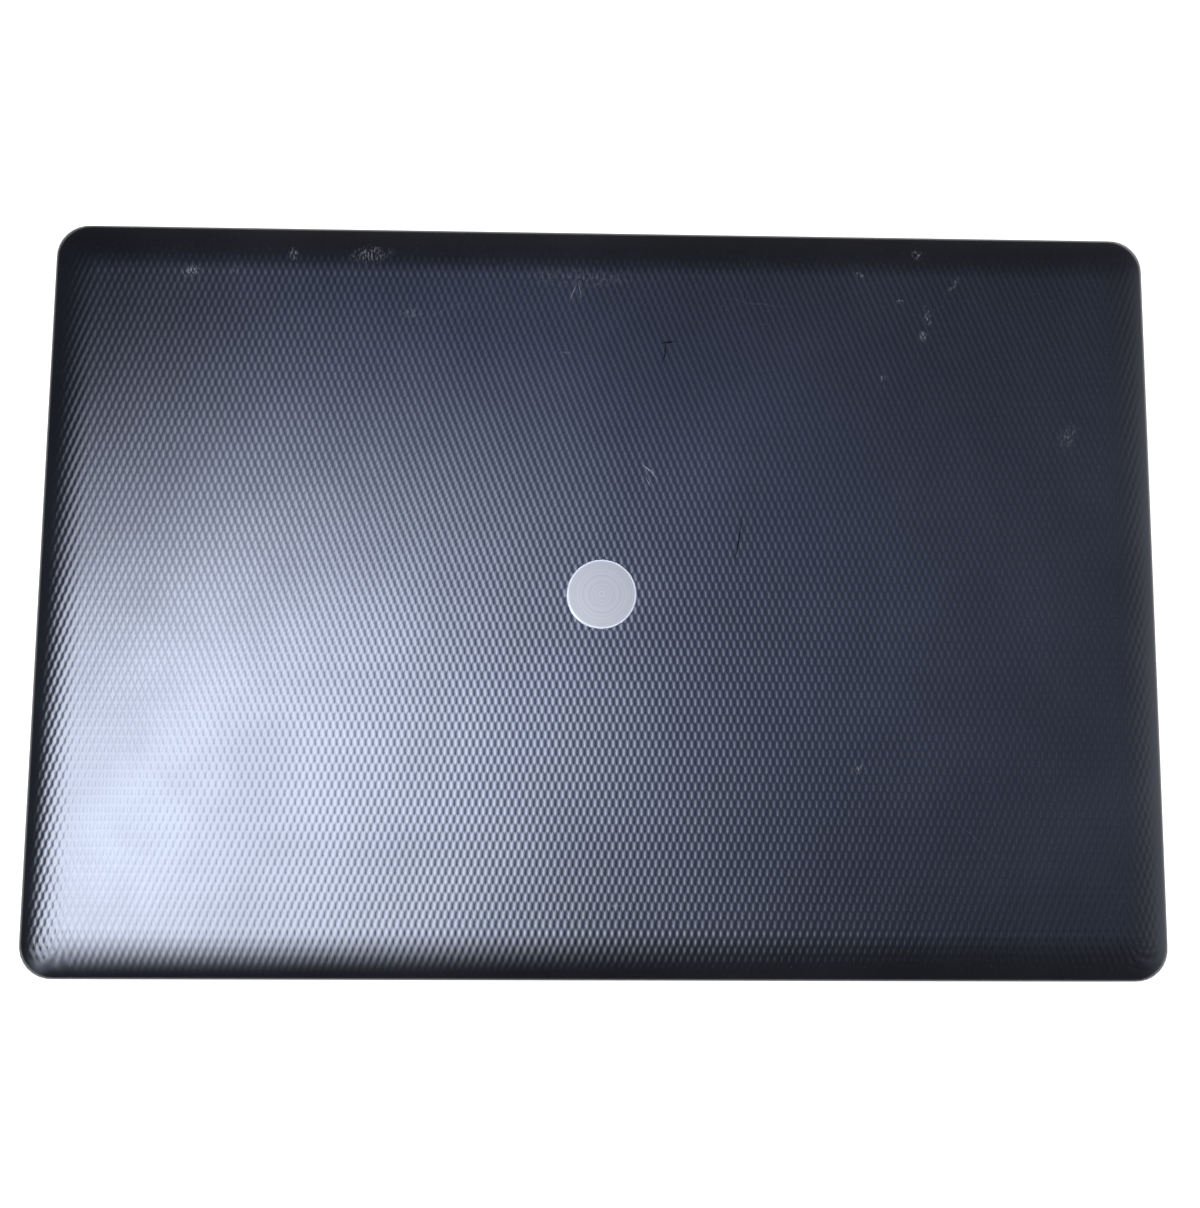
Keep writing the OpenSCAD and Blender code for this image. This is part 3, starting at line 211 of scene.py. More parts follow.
lidFinish = {
    "colour": (0.0042, 0.005, 0.0074),
    "haze": (0.0066, 0.0078, 0.0112),      # thin film of dust and fingerprints
    "worn": (0.16, 0.165, 0.18),
    "cracked": (0.001, 0.001, 0.0015),
    "roughness": 0.14,
    "hazeRoughness": (-0.02, 0.03),        # what clean and hazy places add to that
    "wornRoughness": 0.6,
    "ior": 1.57,
    "smudgeScale": 17,
    "wander": {"scale": 160, "reach": 3},  # how raggedly the marks run, reach in mm
    "speckleScale": 1500,                  # breaks the scuffs up
    "dust": {"scale": 2600, "from": 0.73, "to": 0.8, "strength": 0.35},
    "grain": {"scale": 4200, "strength": 0.25, "depth": 0.02},
    # gloss varies in soft blotches, between these levels
    "blotches": {"scale": 23, "low": 0.46, "high": 0.54},
    # hands have dulled one corner: from and to along x and along y in mm, and how much is lost at most
    "dulled": {"x": (118, 196), "y": (50, -105), "loss": 0.62},
    # each mark: x, y of its middle, half length and half width in mm, turn in degrees, strength
    "scuffs": [
        (155, -120.5, 4.2, 2.6, 20, 0.9), (117.5, -127.8, 2.6, 3.2, 0, 0.65), (88, -128, 9, 4.0, 8, 0.6),
        (72, -105.2, 5, 2.4, 0, 0.35), (9.5, -120, 26, 4.2, 0, 0.2), (-119.7, -131, 2.8, 2.2, 0, 0.5),
        (-96.9, -122.3, 2, 1.3, -30, 0.6), (-132.8, -119, 5, 1.2, 62, 0.45), (-122.5, -107.5, 1.7, 4.4, 10, 0.8),
        (-120.9, -99.3, 2, 2, 0, 0.8), (-112.4, -112.4, 1.2, 1.2, 0, 0.9), (13.7, -90.8, 2.6, 0.7, 0, 0.6),
        (-105, -82.4, 1.8, 1.6, 0, 0.6), (-175, -61, 7, 4, 60, 0.25), (-94.6, 63.5, 2.0, 1.9, 15, 1.0),
        (-6.3, 112, 3, 0.8, 0, 0.6), (139, -121.9, 1.2, 1.6, 0, 0.7),
    ],
    "scratches": [
        (11.6, -114.6, 5, 0.34, 68, 0.55), (8.8, -115, 4.4, 0.28, -76, 0.45), (-17.5, -46.0, 5.0, 0.36, -50, 0.85),
        (-17, -41.8, 2.6, 0.28, -60, 0.7), (63, -105.3, 16, 0.2, 24, 0.12), (-57, -111.3, 20, 0.18, -6, 0.1),
        (133, 24.7, 24, 0.18, 33, 0.1), (-137, 88.7, 18, 0.18, -40, 0.1),
    ],
    "cracks": [
        (-24.4, -95.3, 3.6, 0.38, 12, 1.0), (-22.6, -91, 5.2, 0.36, 80, 1.0), (-50.6, -20.5, 13, 0.36, 82, 1.0),
    ],
}


def streak(material, vector, x, y, halfLength, halfWidth, turn):
    # soft mask of an oval mark, 1 in its middle and 0 outside
    mapping = addNode(material, "ShaderNodeMapping", vector_type="TEXTURE")
    mapping.inputs["Location"].default_value = (x * mm, y * mm, 0)
    mapping.inputs["Rotation"].default_value = (0, 0, math.radians(turn))
    mapping.inputs["Scale"].default_value = (halfLength * mm, halfWidth * mm, 1)
    join(material, vector, mapping.inputs["Vector"])
    length = addNode(material, "ShaderNodeVectorMath", operation="LENGTH")
    join(material, mapping.outputs["Vector"], length.inputs[0])
    return remap(material, length.outputs["Value"], 1.0, 0.2, 0.0, 1.0)


def layMarks(material, vector, marks, under):
    # the strongest of the marks and of the mask under them
    for *shape, strength in marks:
        mark = calculate(material, "MULTIPLY", streak(material, vector, *shape), strength)
        under = calculate(material, "MAXIMUM", mark, under)
    return under


def raggedVector(material, vector, scale, reach):
    # the same place, moved about by up to half of reach
    wander = addNode(material, "ShaderNodeTexNoise", Scale=scale, Detail=3.0)
    join(material, vector, wander.inputs["Vector"])
    shifted = addNode(material, "ShaderNodeVectorMath", operation="MULTIPLY_ADD")
    join(material, wander.outputs["Color"], shifted.inputs[0])
    shifted.inputs[1].default_value = (reach * mm, reach * mm, 0)
    join(material, vector, shifted.inputs[2])
    centred = addNode(material, "ShaderNodeVectorMath", operation="SUBTRACT")
    join(material, shifted.outputs[0], centred.inputs[0])
    centred.inputs[1].default_value = (reach * mm / 2, reach * mm / 2, 0)
    return centred.outputs[0]


def lidGloss(material, vector, cracks, finish):
    # how strongly the film mirrors: less in the dulled corner, none in the cracks
    parts = addNode(material, "ShaderNodeSeparateXYZ")
    join(material, vector, parts.inputs[0])
    dulled = finish["dulled"]
    alongX, alongY = [remap(material, parts.outputs[axis.upper()], dulled[axis][0] * mm, dulled[axis][1] * mm, 0.0, 1.0)
                      for axis in "xy"]
    loss = calculate(material, "MULTIPLY", calculate(material, "MULTIPLY", alongX, alongY), dulled["loss"])
    patches = noise(material, vector, finish["blotches"]["scale"], 4, 0.55)
    blotches = remap(material, patches, 0.35, 0.65, finish["blotches"]["low"], finish["blotches"]["high"])
    level = calculate(material, "MULTIPLY", calculate(material, "SUBTRACT", 1.0, loss), blotches)
    return calculate(material, "MULTIPLY", calculate(material, "SUBTRACT", 1.0, cracks), level)


def lidMaterial(finish):
    material, shader = newMaterial("lidGlossFilm", finish["colour"], finish["roughness"], ior=finish["ior"])
    vector = place(material)
    ragged = raggedVector(material, vector, finish["wander"]["scale"], finish["wander"]["reach"])
    # wear and dust
    wear = layMarks(material, ragged, finish["scuffs"], 0.0)
    specks = noise(material, scaled(material, vector, (1.0, 0.4, 1.0)), finish["speckleScale"], 2)
    wear = calculate(material, "MULTIPLY", wear, remap(material, specks, 0.5, 0.64, 0.0, 1.0), clamp=True)
    wear = layMarks(material, ragged, finish["scratches"], wear)
    grit = finish["dust"]
    dust = remap(material, noise(material, vector, grit["scale"], 1), grit["from"], grit["to"], 0.0, grit["strength"])
    cracks = layMarks(material, ragged, finish["cracks"], 0.0)
    # colour
    smudges = remap(material, noise(material, vector, finish["smudgeScale"], 5, 0.6), 0.42, 0.75, 0.0, 1.0)
    body = blendColours(material, smudges, finish["colour"], finish["haze"])
    worn = blendColours(material, calculate(material, "ADD", wear, dust, clamp=True), body, finish["worn"])
    join(material, blendColours(material, cracks, worn, finish["cracked"]), shader.inputs["Base Color"])
    # gloss
    clean, hazy = [finish["roughness"] + extra for extra in finish["hazeRoughness"]]
    film = remap(material, smudges, 0.0, 1.0, clean, hazy)
    scuffed = calculate(material, "MULTIPLY", wear, finish["wornRoughness"])
    join(material, calculate(material, "MAXIMUM", film, scuffed), shader.inputs["Roughness"])
    join(material, lidGloss(material, vector, cracks, finish), shader.inputs["Specular IOR Level"])
    grain = finish["grain"]
    height = calculate(material, "SUBTRACT", noise(material, vector, grain["scale"], 2), cracks)
    addBump(material, shader, height, grain["strength"], grain["depth"] * mm)
    return material


keyFinish = {
    "colour": (0.012, 0.012, 0.013),
    "worn": (0.02, 0.02, 0.021),
    "roughness": 0.56,
    "wornRoughness": 0.4,
    "wearScale": 60,
    "grain": {"scale": 6000, "strength": 0.5, "depth": 0.015},
}


def keyMaterial(finish):
    # satin keycaps, paler and a little glossier in patches where fingers have worn them
    material, shader = newMaterial("keySatin", finish["colour"], finish["roughness"])
    vector = place(material)
    wear = noise(material, vector, finish["wearScale"], 2)
    gloss = remap(material, wear, 0.35, 0.7, finish["roughness"], finish["wornRoughness"])
    join(material, gloss, shader.inputs["Roughness"])
    join(material, blendColours(material, wear, finish["colour"], finish["worn"]), shader.inputs["Base Color"])
    grain = finish["grain"]
    addBump(material, shader, noise(material, vector, grain["scale"], 2), grain["strength"], grain["depth"] * mm)
    return material


screenFinish = {
    "lit": (0.012, 0.013, 0.019),
    "border": (0.003, 0.003, 0.003),
    "borderWidth": 4.0,           # beside the lit area and at its free edge, in mm
    "foot": 8.5,                  # border on the hinge's side
    "blend": 0.4,
    "roughness": (0.28, 0.34),    # between clean and smeared places
    "smearScale": 14,
}


def screenMaterial(finish):
    # dark film over the lit area, with a plain black border
    material, shader = newMaterial("screenFilm", finish["lit"], finish["roughness"][0])
    vector = place(material)
    parts = addNode(material, "ShaderNodeSeparateXYZ")
    join(material, vector, parts.inputs[0])
    low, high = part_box("display_panel")
    border, foot = finish["borderWidth"] * mm, finish["foot"] * mm
    inside = 1.0
    for axis, start, end in ((0, low.x + border, high.x - border), (1, low.y + border, high.y - foot)):
        middle, half = (start + end) / 2, (end - start) / 2
        reach = calculate(material, "ABSOLUTE", calculate(material, "SUBTRACT", parts.outputs[axis], middle))
        edge = remap(material, reach, half, half - finish["blend"] * mm, 0.0, 1.0)
        inside = calculate(material, "MULTIPLY", edge, inside)
    join(material, blendColours(material, inside, finish["border"], finish["lit"]), shader.inputs["Base Color"])
    smear = noise(material, vector, finish["smearScale"], 5, 0.6)
    join(material, remap(material, smear, 0.2, 0.9, *finish["roughness"]), shader.inputs["Roughness"])
    return material


badgeFinish = {
    "colour": (0.185, 0.174, 0.15),
    "second": (0.26, 0.246, 0.215),    # between the turned rings
    # painted highlight: a brighter colour for the bevel at the rim, standing in for the light it catches
    "bevelHighlight": (0.36, 0.35, 0.32),
    "bevelFrom": 0.9,                  # in from the rim, in mm
    "bevelFull": 0.7,
    "roughness": 0.42,
    "ringScale": 1500,
}


def badgeMaterial(node, finish):
    # disc turned on a lathe: fine rings around its middle, and a painted highlight at its rim, where the bevel is given
    # a brighter colour
    material, shader = newMaterial("badgeSatin", finish["colour"], finish["roughness"], 1.0)
    low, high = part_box(node)
    mapping = addNode(material, "ShaderNodeMapping", vector_type="TEXTURE")
    mapping.inputs["Location"].default_value = ((low.x + high.x) / 2, (low.y + high.y) / 2, 0)
    join(material, place(material), mapping.inputs["Vector"])
    away = addNode(material, "ShaderNodeVectorMath", operation="LENGTH")
    join(material, scaled(material, mapping.outputs["Vector"], (1, 1, 0)), away.inputs[0])
    along = addNode(material, "ShaderNodeCombineXYZ")
    join(material, away.outputs["Value"], along.inputs[0])
    rings = noise(material, along.outputs[0], finish["ringScale"], 4, 0.7)
    turned = remap(material, rings, 0.35, 0.65, 0.0, 1.0)
    spun = blendColours(material, turned, finish["colour"], finish["second"])
    radius = (high.x - low.x) / 2
    bevelFrom, bevelFull = radius - finish["bevelFrom"] * mm, radius - finish["bevelFull"] * mm
    # painted highlight: the band at the rim takes the brighter colour
    rim = remap(material, away.outputs["Value"], bevelFrom, bevelFull, 0.0, 1.0)
    join(material, blendColours(material, rim, spun, finish["bevelHighlight"]), shader.inputs["Base Color"])
    gloss = remap(material, rings, 0.3, 0.7, finish["roughness"] - 0.05, finish["roughness"] + 0.06)
    join(material, gloss, shader.inputs["Roughness"])
    addBump(material, shader, rings, 0.5, 0.02 * mm)
    return material


platedMetal = {
    "colour": (0.58, 0.59, 0.62),
    "second": (0.68, 0.69, 0.7),
    "roughness": 0.26,
    "stretch": (500, 2500, 500),    # how fine its lines are along each axis
}
# contact tongues inside the plated shells: half their width, and their bottom and top from the shell's top or bottom
tongues = {
    "usb_sockets": {"halfWidth": 5.56, "bottom": -2.76, "top": -0.84, "fromTop": True},
    "video_socket": {"halfWidth": 5.46, "bottom": 2.14, "top": 3.46, "fromTop": False},
}
tongueColour = (0.012, 0.012, 0.013)


def tonguedMaterial(name, node, tongue):
    # plated shell with a black plastic tongue inside each socket of the node
    material = brushed(name, **platedMetal)
    shader = material.node_tree.nodes["Principled BSDF"]
    parts = addNode(material, "ShaderNodeSeparateXYZ")
    join(material, place(material), parts.inputs[0])
    bottom, top, halfWidth = tongue["bottom"], tongue["top"], tongue["halfWidth"] * mm
    black = 0.0
    for low, high in looseBoxes(node):
        base = high[2] if tongue["fromTop"] else low[2]
        one = 1.0
        for axis, middle, half in ((1, (low[1] + high[1]) / 2, halfWidth),
                                   (2, base + (bottom + top) / 2 * mm, (top - bottom) / 2 * mm)):
            away = calculate(material, "ABSOLUTE", calculate(material, "SUBTRACT", parts.outputs[axis], middle))
            one = calculate(material, "MULTIPLY", calculate(material, "LESS_THAN", away, half), one)
        black = calculate(material, "MAXIMUM", one, black)
    metalColour = shader.inputs["Base Color"].links[0].from_socket
    join(material, blendColours(material, black, metalColour, tongueColour), shader.inputs["Base Color"])
    join(material, calculate(material, "SUBTRACT", 1.0, black), shader.inputs["Metallic"])
    return material


finishes = {
    "lid_shell": lidMaterial(lidFinish),
    "badge": badgeMaterial("lid_badge", badgeFinish),
    "bezel": grainy("bezelGloss", (0.008, 0.008, 0.009), (0.011, 0.011, 0.013), 0.2, 0.05, 3000, 0.004),
    "case_plastic": grainy("caseMatte", (0.018, 0.018, 0.021), (0.024, 0.024, 0.027), 0.48, 0.06, 3800, 0.02),
    "base_plastic": grainy("baseTextured", (0.016, 0.016, 0.018), (0.022, 0.022, 0.024), 0.62, 0.07, 1500, 0.05),
    "key_plastic": keyMaterial(keyFinish),
    "rubber": grainy("footRubber", (0.022, 0.022, 0.022), (0.034, 0.033, 0.032), 0.85, 0.05, 2400, 0.03),
    "steel": brushed("stampedSteel", (0.44, 0.45, 0.47), (0.56, 0.57, 0.58), 0.36, (2500, 300, 300)),
    "dark_screw": brushed("screwBlack", (0.045, 0.045, 0.05), (0.09, 0.09, 0.095), 0.4, (3000, 3000, 3000), 0.9),
    "socket_metal": brushed("platedShell", **platedMetal),
    "socket_plastic": grainy("socketBlack", (0.012, 0.012, 0.012), (0.018, 0.018, 0.018), 0.45, 0.05, 2500, 0.01),
    "circuit_board": grainy("boardGreen", (0.006, 0.06, 0.03), (0.012, 0.1, 0.05), 0.35, 0.08, 900, 0.02, blotch=140),
    "copper": brushed("pipeCopper", (0.72, 0.36, 0.22), (0.8, 0.45, 0.3), 0.3, (900, 900, 900)),
    "cell_wrap": grainy("cellFilm", (0.02, 0.02, 0.024), (0.03, 0.03, 0.034), 0.4, 0.06, 700, 0.02),
    "cast_alloy": grainy("castAlloy", (0.5, 0.51, 0.53), (0.6, 0.61, 0.62), 0.42, 0.06, 1600, 0.02, metallic=1.0),
    "fan_plastic": grainy("fanBlack", (0.02, 0.02, 0.022), (0.03, 0.03, 0.033), 0.5, 0.06, 1800, 0.02),
    "usb_shell": tonguedMaterial("usbShell", "usb_sockets", tongues["usb_sockets"]),
    "video_shell": tonguedMaterial("videoShell", "video_socket", tongues["video_socket"]),
    "touch_surface": grainy("padSatin", (0.013, 0.013, 0.015), (0.016, 0.016, 0.018), 0.36, 0.04, 5200, 0.008),
    "lens_glass": grainy("lensGlass", (0.002, 0.002, 0.004), (0.004, 0.003, 0.007), 0.06, 0.02, 900, 0.001),
    "key_ink": grainy("keyInk", (0.5, 0.51, 0.53), (0.6, 0.61, 0.62), 0.55, 0.06, 3000, 0.004),
    "ribbon": grainy("ribbonFilm", (0.62, 0.33, 0.08), (0.7, 0.4, 0.12), 0.35, 0.06, 400, 0.01),
    "screen": screenMaterial(screenFinish),
}

# nodes that have a finish of their own instead of their slot's
ownFinish = {"touchpad": "touch_surface", "usb_sockets": "usb_shell", "video_socket": "video_shell"}
for part in frame["record"]["subparts"]:
    node = nodes[part["node"]]
    node.data.materials.clear()
    node.data.materials.append(finishes[ownFinish.get(part["node"], part["material_slot"])])
print("finishes given to", len(nodes), "nodes")


# lid cover: embossed top that rolls down to an upright edge, with its inner face and two end barrels
lidCover = {
    "corner": 12.0,           # plan radius of the corners
    "edge": 1.8,              # height of the upright edge
    "rim": 0.25,              # bevel at the foot of the upright edge
    "roll": 18.0,             # how far the top rolls down, seen from above
    "border": 20.0,           # between the outline and the flat middle
    "wall": 1.8,
    "skin": 1.6,
    "innerEdge": 0.8,         # the inner wall ends this far below the outer one
    "innerFoot": (1.4, 1.9),  # first bend of the inner face, in and up from the inner wall's end
    "innerBend": (4.2, 0.8),  # last bend, in from the wall and below the ceiling
    "ceiling": 9.6,           # the ceiling starts this far in from the wall
    "sink": 0.1,              # the film lies this far under the shell's nominal face, so the badge stands proud
    "sinkFrom": 3,            # and this far in from the outline, in full
    "embossDepth": 0.06,      # from the middle of the pattern to its peaks
    "embossX": 2.6,           # pattern period across the lid
    "embossY": 6.1,           # pattern period from front to hinge
    "stepX": 0.65,
    "stepY": 1.525,
    "cornerSteps": 14,
    "ringStep": 0.65,         # between rings while they carry the pattern
    "plainRings": 7,          # from there to the outline
    "plain": 2.2,             # the pattern ends this far from the outline
    "fade": 5.5,              # and has its full depth this much further in
    "barrel": 6.0,            # radius of the end barrels
    "barrelTurn": 9,          # degrees between their edges
    "barrelFrom": 187.5,
    "barrelTo": 197.9,
}


def rimPath(width, depth, cover, countX, countY):
    # once round the flat middle: its edge points, the way to the outline in borders, the outline's outward
    # direction there, and the grid place that each edge point has
    border, radius = cover["border"], cover["corner"]
    halfX, halfY, spare = width / 2 - border, depth / 2 - border, border - radius
    base, out, facing, gridIndex = [], [], [], []
    corners = [(halfX, -halfY), (halfX, halfY), (-halfX, halfY), (-halfX, -halfY)]
    cornerIndex = [(countX, 0), (countX, countY), (0, countY), (0, 0)]
    for side in range(4):
        count = countX if side % 2 == 0 else countY
        start, end = corners[side - 1], corners[side]
        indexStart, indexEnd = cornerIndex[side - 1], cornerIndex[side]
        straight = [(0, -1), (1, 0), (0, 1), (-1, 0)][side]
        following = (-straight[1], straight[0])
        for i in range(count):
            t = i / count
            base.append((start[0] + (end[0] - start[0]) * t, start[1] + (end[1] - start[1]) * t))
            out.append(straight)
            facing.append(straight)
            gridIndex.append((round(indexStart[0] + (indexEnd[0] - indexStart[0]) * t),
                              round(indexStart[1] + (indexEnd[1] - indexStart[1]) * t)))
        for i in range(cover["cornerSteps"]):
            angle = math.pi / 2 * i / cover["cornerSteps"]
            one, two = math.cos(angle), math.sin(angle)
            if two * border <= spare * one:
                reach, tilt = border / one, 0.0
            elif one * border <= spare * two:
                reach, tilt = border / two, math.pi / 2
            else:
                middle = spare * (one + two)
                reach = middle + math.sqrt(middle * middle + radius * radius - 2 * spare * spare)
                tilt = math.atan2(reach * two - spare, reach * one - spare)
            base.append(end)
            out.append(tuple(reach / border * (one * straight[k] + two * following[k]) for k in (0, 1)))
            facing.append(tuple(math.cos(tilt) * straight[k] + math.sin(tilt) * following[k] for k in (0, 1)))
            gridIndex.append(indexEnd)
    return np.array(base), np.array(out), np.array(facing), gridIndex


def emboss(x, y, cover):
    # depth below the pattern's peaks, and its slope along x and along y
    rateX, rateY, depth = 2 * np.pi / cover["embossX"], 2 * np.pi / cover["embossY"], cover["embossDepth"]
    cosX, cosY = np.cos(rateX * x), np.cos(rateY * y)
    return (depth * (1 - cosX * cosY), -depth * rateX * np.sin(rateX * x) * cosY,
            -depth * rateY * cosX * np.sin(rateY * y))


def addMesh(name, verts, faces, body, slotName, smoothAngle):
    mesh = bpy.data.meshes.new(name)
    mesh.from_pydata([tuple(v) for v in verts], [], faces)
    mesh.validate()
    mesh.polygons.foreach_set("use_smooth", [True] * len(mesh.polygons))
    mesh.set_sharp_from_angle(angle=math.radians(smoothAngle))
    mesh.materials.append(finishes[slotName])
    piece = bpy.data.objects.new(name, mesh)
    bpy.context.scene.collection.objects.link(piece)
    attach(piece, body)
    return piece


def flatTop(halfX, halfY, countX, countY, level, cover):
    # embossed middle of the lid: points, their normals and triangles
    gx, gy = np.meshgrid(np.linspace(-halfX, halfX, countX + 1), np.linspace(-halfY, halfY, countY + 1), indexing="ij")
    dip, slopeX, slopeY = emboss(gx, gy, cover)
    verts = np.stack([gx.ravel(), gy.ravel(), (level - cover["sink"] - dip).ravel()], 1)
    normals = np.stack([-slopeX.ravel(), -slopeY.ravel(), np.ones(gx.size)], 1)
    i, j = [index.ravel() for index in np.meshgrid(np.arange(countX), np.arange(countY), indexing="ij")]
    corner, row = i * (countY + 1) + j, countY + 1
    quads = np.stack([corner, corner + row, corner + row + 1, corner + 1], 1)
    # the diagonals take turns, so the pattern leans neither way
    turned = np.where(((i + j) % 2 == 0)[:, None], quads, np.roll(quads, 1, axis=1))
    return verts, normals, turned[:, [0, 1, 2]].tolist() + turned[:, [0, 2, 3]].tolist()


def lidProfile(height, cover):
    # rows from the flat middle to the outline and back along the inner face. Each has its distance in from the
    # outline, its height, the way to it along the surface, the outward and upward parts of the surface's
    # direction, and how much of the pattern it carries
    edge, wall, rim, inset, arc, profile = cover["edge"], cover["wall"], cover["rim"], cover["border"], 0.0, []
    insets = np.arange(inset - cover["ringStep"], cover["plain"], -cover["ringStep"]).tolist()
    insets += [insets[-1] * (1 - k / cover["plainRings"]) ** 2 for k in range(1, cover["plainRings"] + 1)]
    for newInset in insets:
        angle = math.acos(max(0.0, 1 - newInset / cover["roll"]))
        z = edge + (height - edge) * math.sin(angle)
        arc += math.hypot(inset - newInset, z - (profile[-1][1] if profile else height))
        slope = Vector(((height - edge) * math.cos(angle), cover["roll"] * math.sin(angle))).normalized()
        fade = min(1.0, max(0.0, (newInset - cover["plain"]) / cover["fade"]))
        profile.append((newInset, z, arc, slope.x, slope.y, fade))
        inset = newInset
    innerEdge, innerTop = edge - cover["innerEdge"], height - cover["skin"]
    foot, bend = cover["innerFoot"], cover["innerBend"]
    plainRows = [(0.0, edge / 2), (0.0, rim), (rim, 0.0), (wall, 0.0), (wall, innerEdge),
                 (wall + foot[0], innerEdge + foot[1]), (wall + bend[0], innerTop - bend[1]),
                 (wall + cover["ceiling"], innerTop)]
    return profile + [(inset, z, arc, 0.0, 0.0, 0.0) for inset, z in plainRows]


def ringPoints(row, rim, bottom, cover):
    # points and normals of one row of the profile, once round the lid
    inset, z, arc, outward, upward, fade = row
    base, out, outline = rim
    border = cover["border"]
    pattern = base + out * arc
    dip, slopeX, slopeY = emboss(pattern[:, 0], pattern[:, 1], cover)
    dip = cover["sink"] * min(1.0, inset / cover["sinkFrom"]) + dip * fade
    plan = base + out * (border - inset - outward * dip)[:, None]
    verts = np.column_stack([plan, np.full(len(plan), bottom + z) - upward * dip])
    if z < cover["edge"] or not (outward or upward):
        return verts, np.zeros_like(verts)
    # the slope across the rim lies along the profile, the slope around the rim lies along the outline
    away = out * (inset / border) + outline * (1 - inset / border)
    away /= np.linalg.norm(away, axis=1, keepdims=True)
    downhill = (slopeX * away[:, 0] + slopeY * away[:, 1]) * fade
    around = (slopeY * away[:, 0] - slopeX * away[:, 1]) * fade
    facing = np.column_stack([away * outward, np.full(len(out), upward)])
    down = np.column_stack([away * upward, np.full(len(out), -outward)])
    side = np.column_stack([-away[:, 1], away[:, 0], np.zeros(len(out))])
    return verts, facing - down * downhill[:, None] - side * around[:, None]


def barrelMesh(ends, pivotY, pivotZ, first, cover):
    # half barrel between two places along x; its faces count from the first point
    turns = [math.radians(angle) for angle in range(-180, 1, cover["barrelTurn"])]
    verts = [(x, pivotY + cover["barrel"] * math.cos(turn), pivotZ + cover["barrel"] * math.sin(turn))
             for x in ends for turn in turns]
    one = list(range(first, first + len(turns)))
    two = [index + len(turns) for index in one]
    faces = [[one[a], one[a + 1], two[a + 1], two[a]] for a in range(len(one) - 1)]
    faces += [[one[-1], one[0], two[0], two[-1]], one[::-1], two]
    return np.array(verts), faces


def makeLidCover(cover):
    low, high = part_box("lid_back_cover")
    width, depth = (high.x - low.x) / mm, (high.y - low.y) / mm
    lidHigh, lidLow = high.z / mm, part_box("display_bezel")[0].z / mm
    height, border = lidHigh - lidLow, cover["border"]
    halfX, halfY = width / 2 - border, depth / 2 - border
    countX, countY = round(2 * halfX / cover["stepX"]), round(2 * halfY / cover["stepY"])
    topVerts, topNormals, faces = flatTop(halfX, halfY, countX, countY, lidHigh, cover)
    verts, normals, count = [topVerts], [topNormals], len(topVerts)
    # rings that roll down the edge, then the upright wall, the rim and the inner face
    *rim, gridIndex = rimPath(width, depth, cover, countX, countY)
    ring = [i * (countY + 1) + j for i, j in gridIndex]
    for row in lidProfile(height, cover):
        rowVerts, rowNormals = ringPoints(row, rim, lidLow, cover)
        verts.append(rowVerts)
        normals.append(rowNormals)
        new = list(range(count, count + len(rowVerts)))
        count += len(rowVerts)
        for a in range(len(ring)):
            b = (a + 1) % len(ring)
            quad = [ring[a], new[a], new[b], ring[b]]
            faces.append(quad if ring[a] != ring[b] else quad[:3])
        ring = new
    faces.append(ring[::-1])                # ceiling over the display panel
    for ends in ((-cover["barrelTo"], -cover["barrelFrom"]), (cover["barrelFrom"], cover["barrelTo"])):
        barrelVerts, barrelFaces = barrelMesh(ends, depth / 2 - height, lidLow, count, cover)
        verts.append(barrelVerts)
        normals.append(np.zeros_like(barrelVerts))
        faces += barrelFaces
        count += len(barrelVerts)
    piece = addMesh("lidCover", np.concatenate(verts) * mm, faces, "lid", "lid_shell", 50)
    shape = np.concatenate(normals)
    length = np.linalg.norm(shape, axis=1, keepdims=True)
    piece.data.normals_split_custom_set_from_vertices((shape / np.where(length > 0, length, 1)).tolist())
    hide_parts("lid_back_cover")
    return piece


lidPiece = makeLidCover(lidCover)
print("lid cover made with", len(lidPiece.data.polygons), "faces")


# camera lens behind the bezel's hole: black ring and domed glass, radius and height above the bezel's face
lensShape = {
    "ring": [(1.15, 0.36), (1.3, 0.3), (2.0, 0.14), (2.3, 0.1), (2.45, 0.16), (2.45, 0.39), (1.15, 0.39), (1.15, 0.36)],
    "glass": [(0.0, 0.2), (0.4, 0.21), (0.8, 0.25), (1.13, 0.33), (1.13, 0.38), (0.0, 0.38)],
    "steps": 36,
}


def makeLathe(name, profile, steps, centre, body, slotName):
    # closed ring or dome turned around a vertical axis
    verts = [(centre[0] + radius * mm * math.cos(2 * math.pi * k / steps),
              centre[1] + radius * mm * math.sin(2 * math.pi * k / steps), centre[2] + height * mm)
             for radius, height in profile for k in range(steps)]
    faces = [[i * steps + k, (i + 1) * steps + k, (i + 1) * steps + (k + 1) % steps, i * steps + (k + 1) % steps]
             for i in range(len(profile) - 1) for k in range(steps)]
    piece = addMesh(name, verts, faces, body, slotName, 30)
    work = bmesh.new()
    work.from_mesh(piece.data)
    bmesh.ops.remove_doubles(work, verts=work.verts, dist=1e-7)
    bmesh.ops.recalc_face_normals(work, faces=work.faces)
    work.to_mesh(piece.data)
    work.free()
    return piece


cameraLow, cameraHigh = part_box("camera_module")
lensCentre = ((cameraLow.x + cameraHigh.x) / 2, (cameraLow.y + cameraHigh.y) / 2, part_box("display_bezel")[0].z)
makeLathe("lensRing", lensShape["ring"], lensShape["steps"], lensCentre, "lid", "socket_plastic")
makeLathe("lensGlass", lensShape["glass"], lensShape["steps"], lensCentre, "lid", "lens_glass")
print("camera lens made")


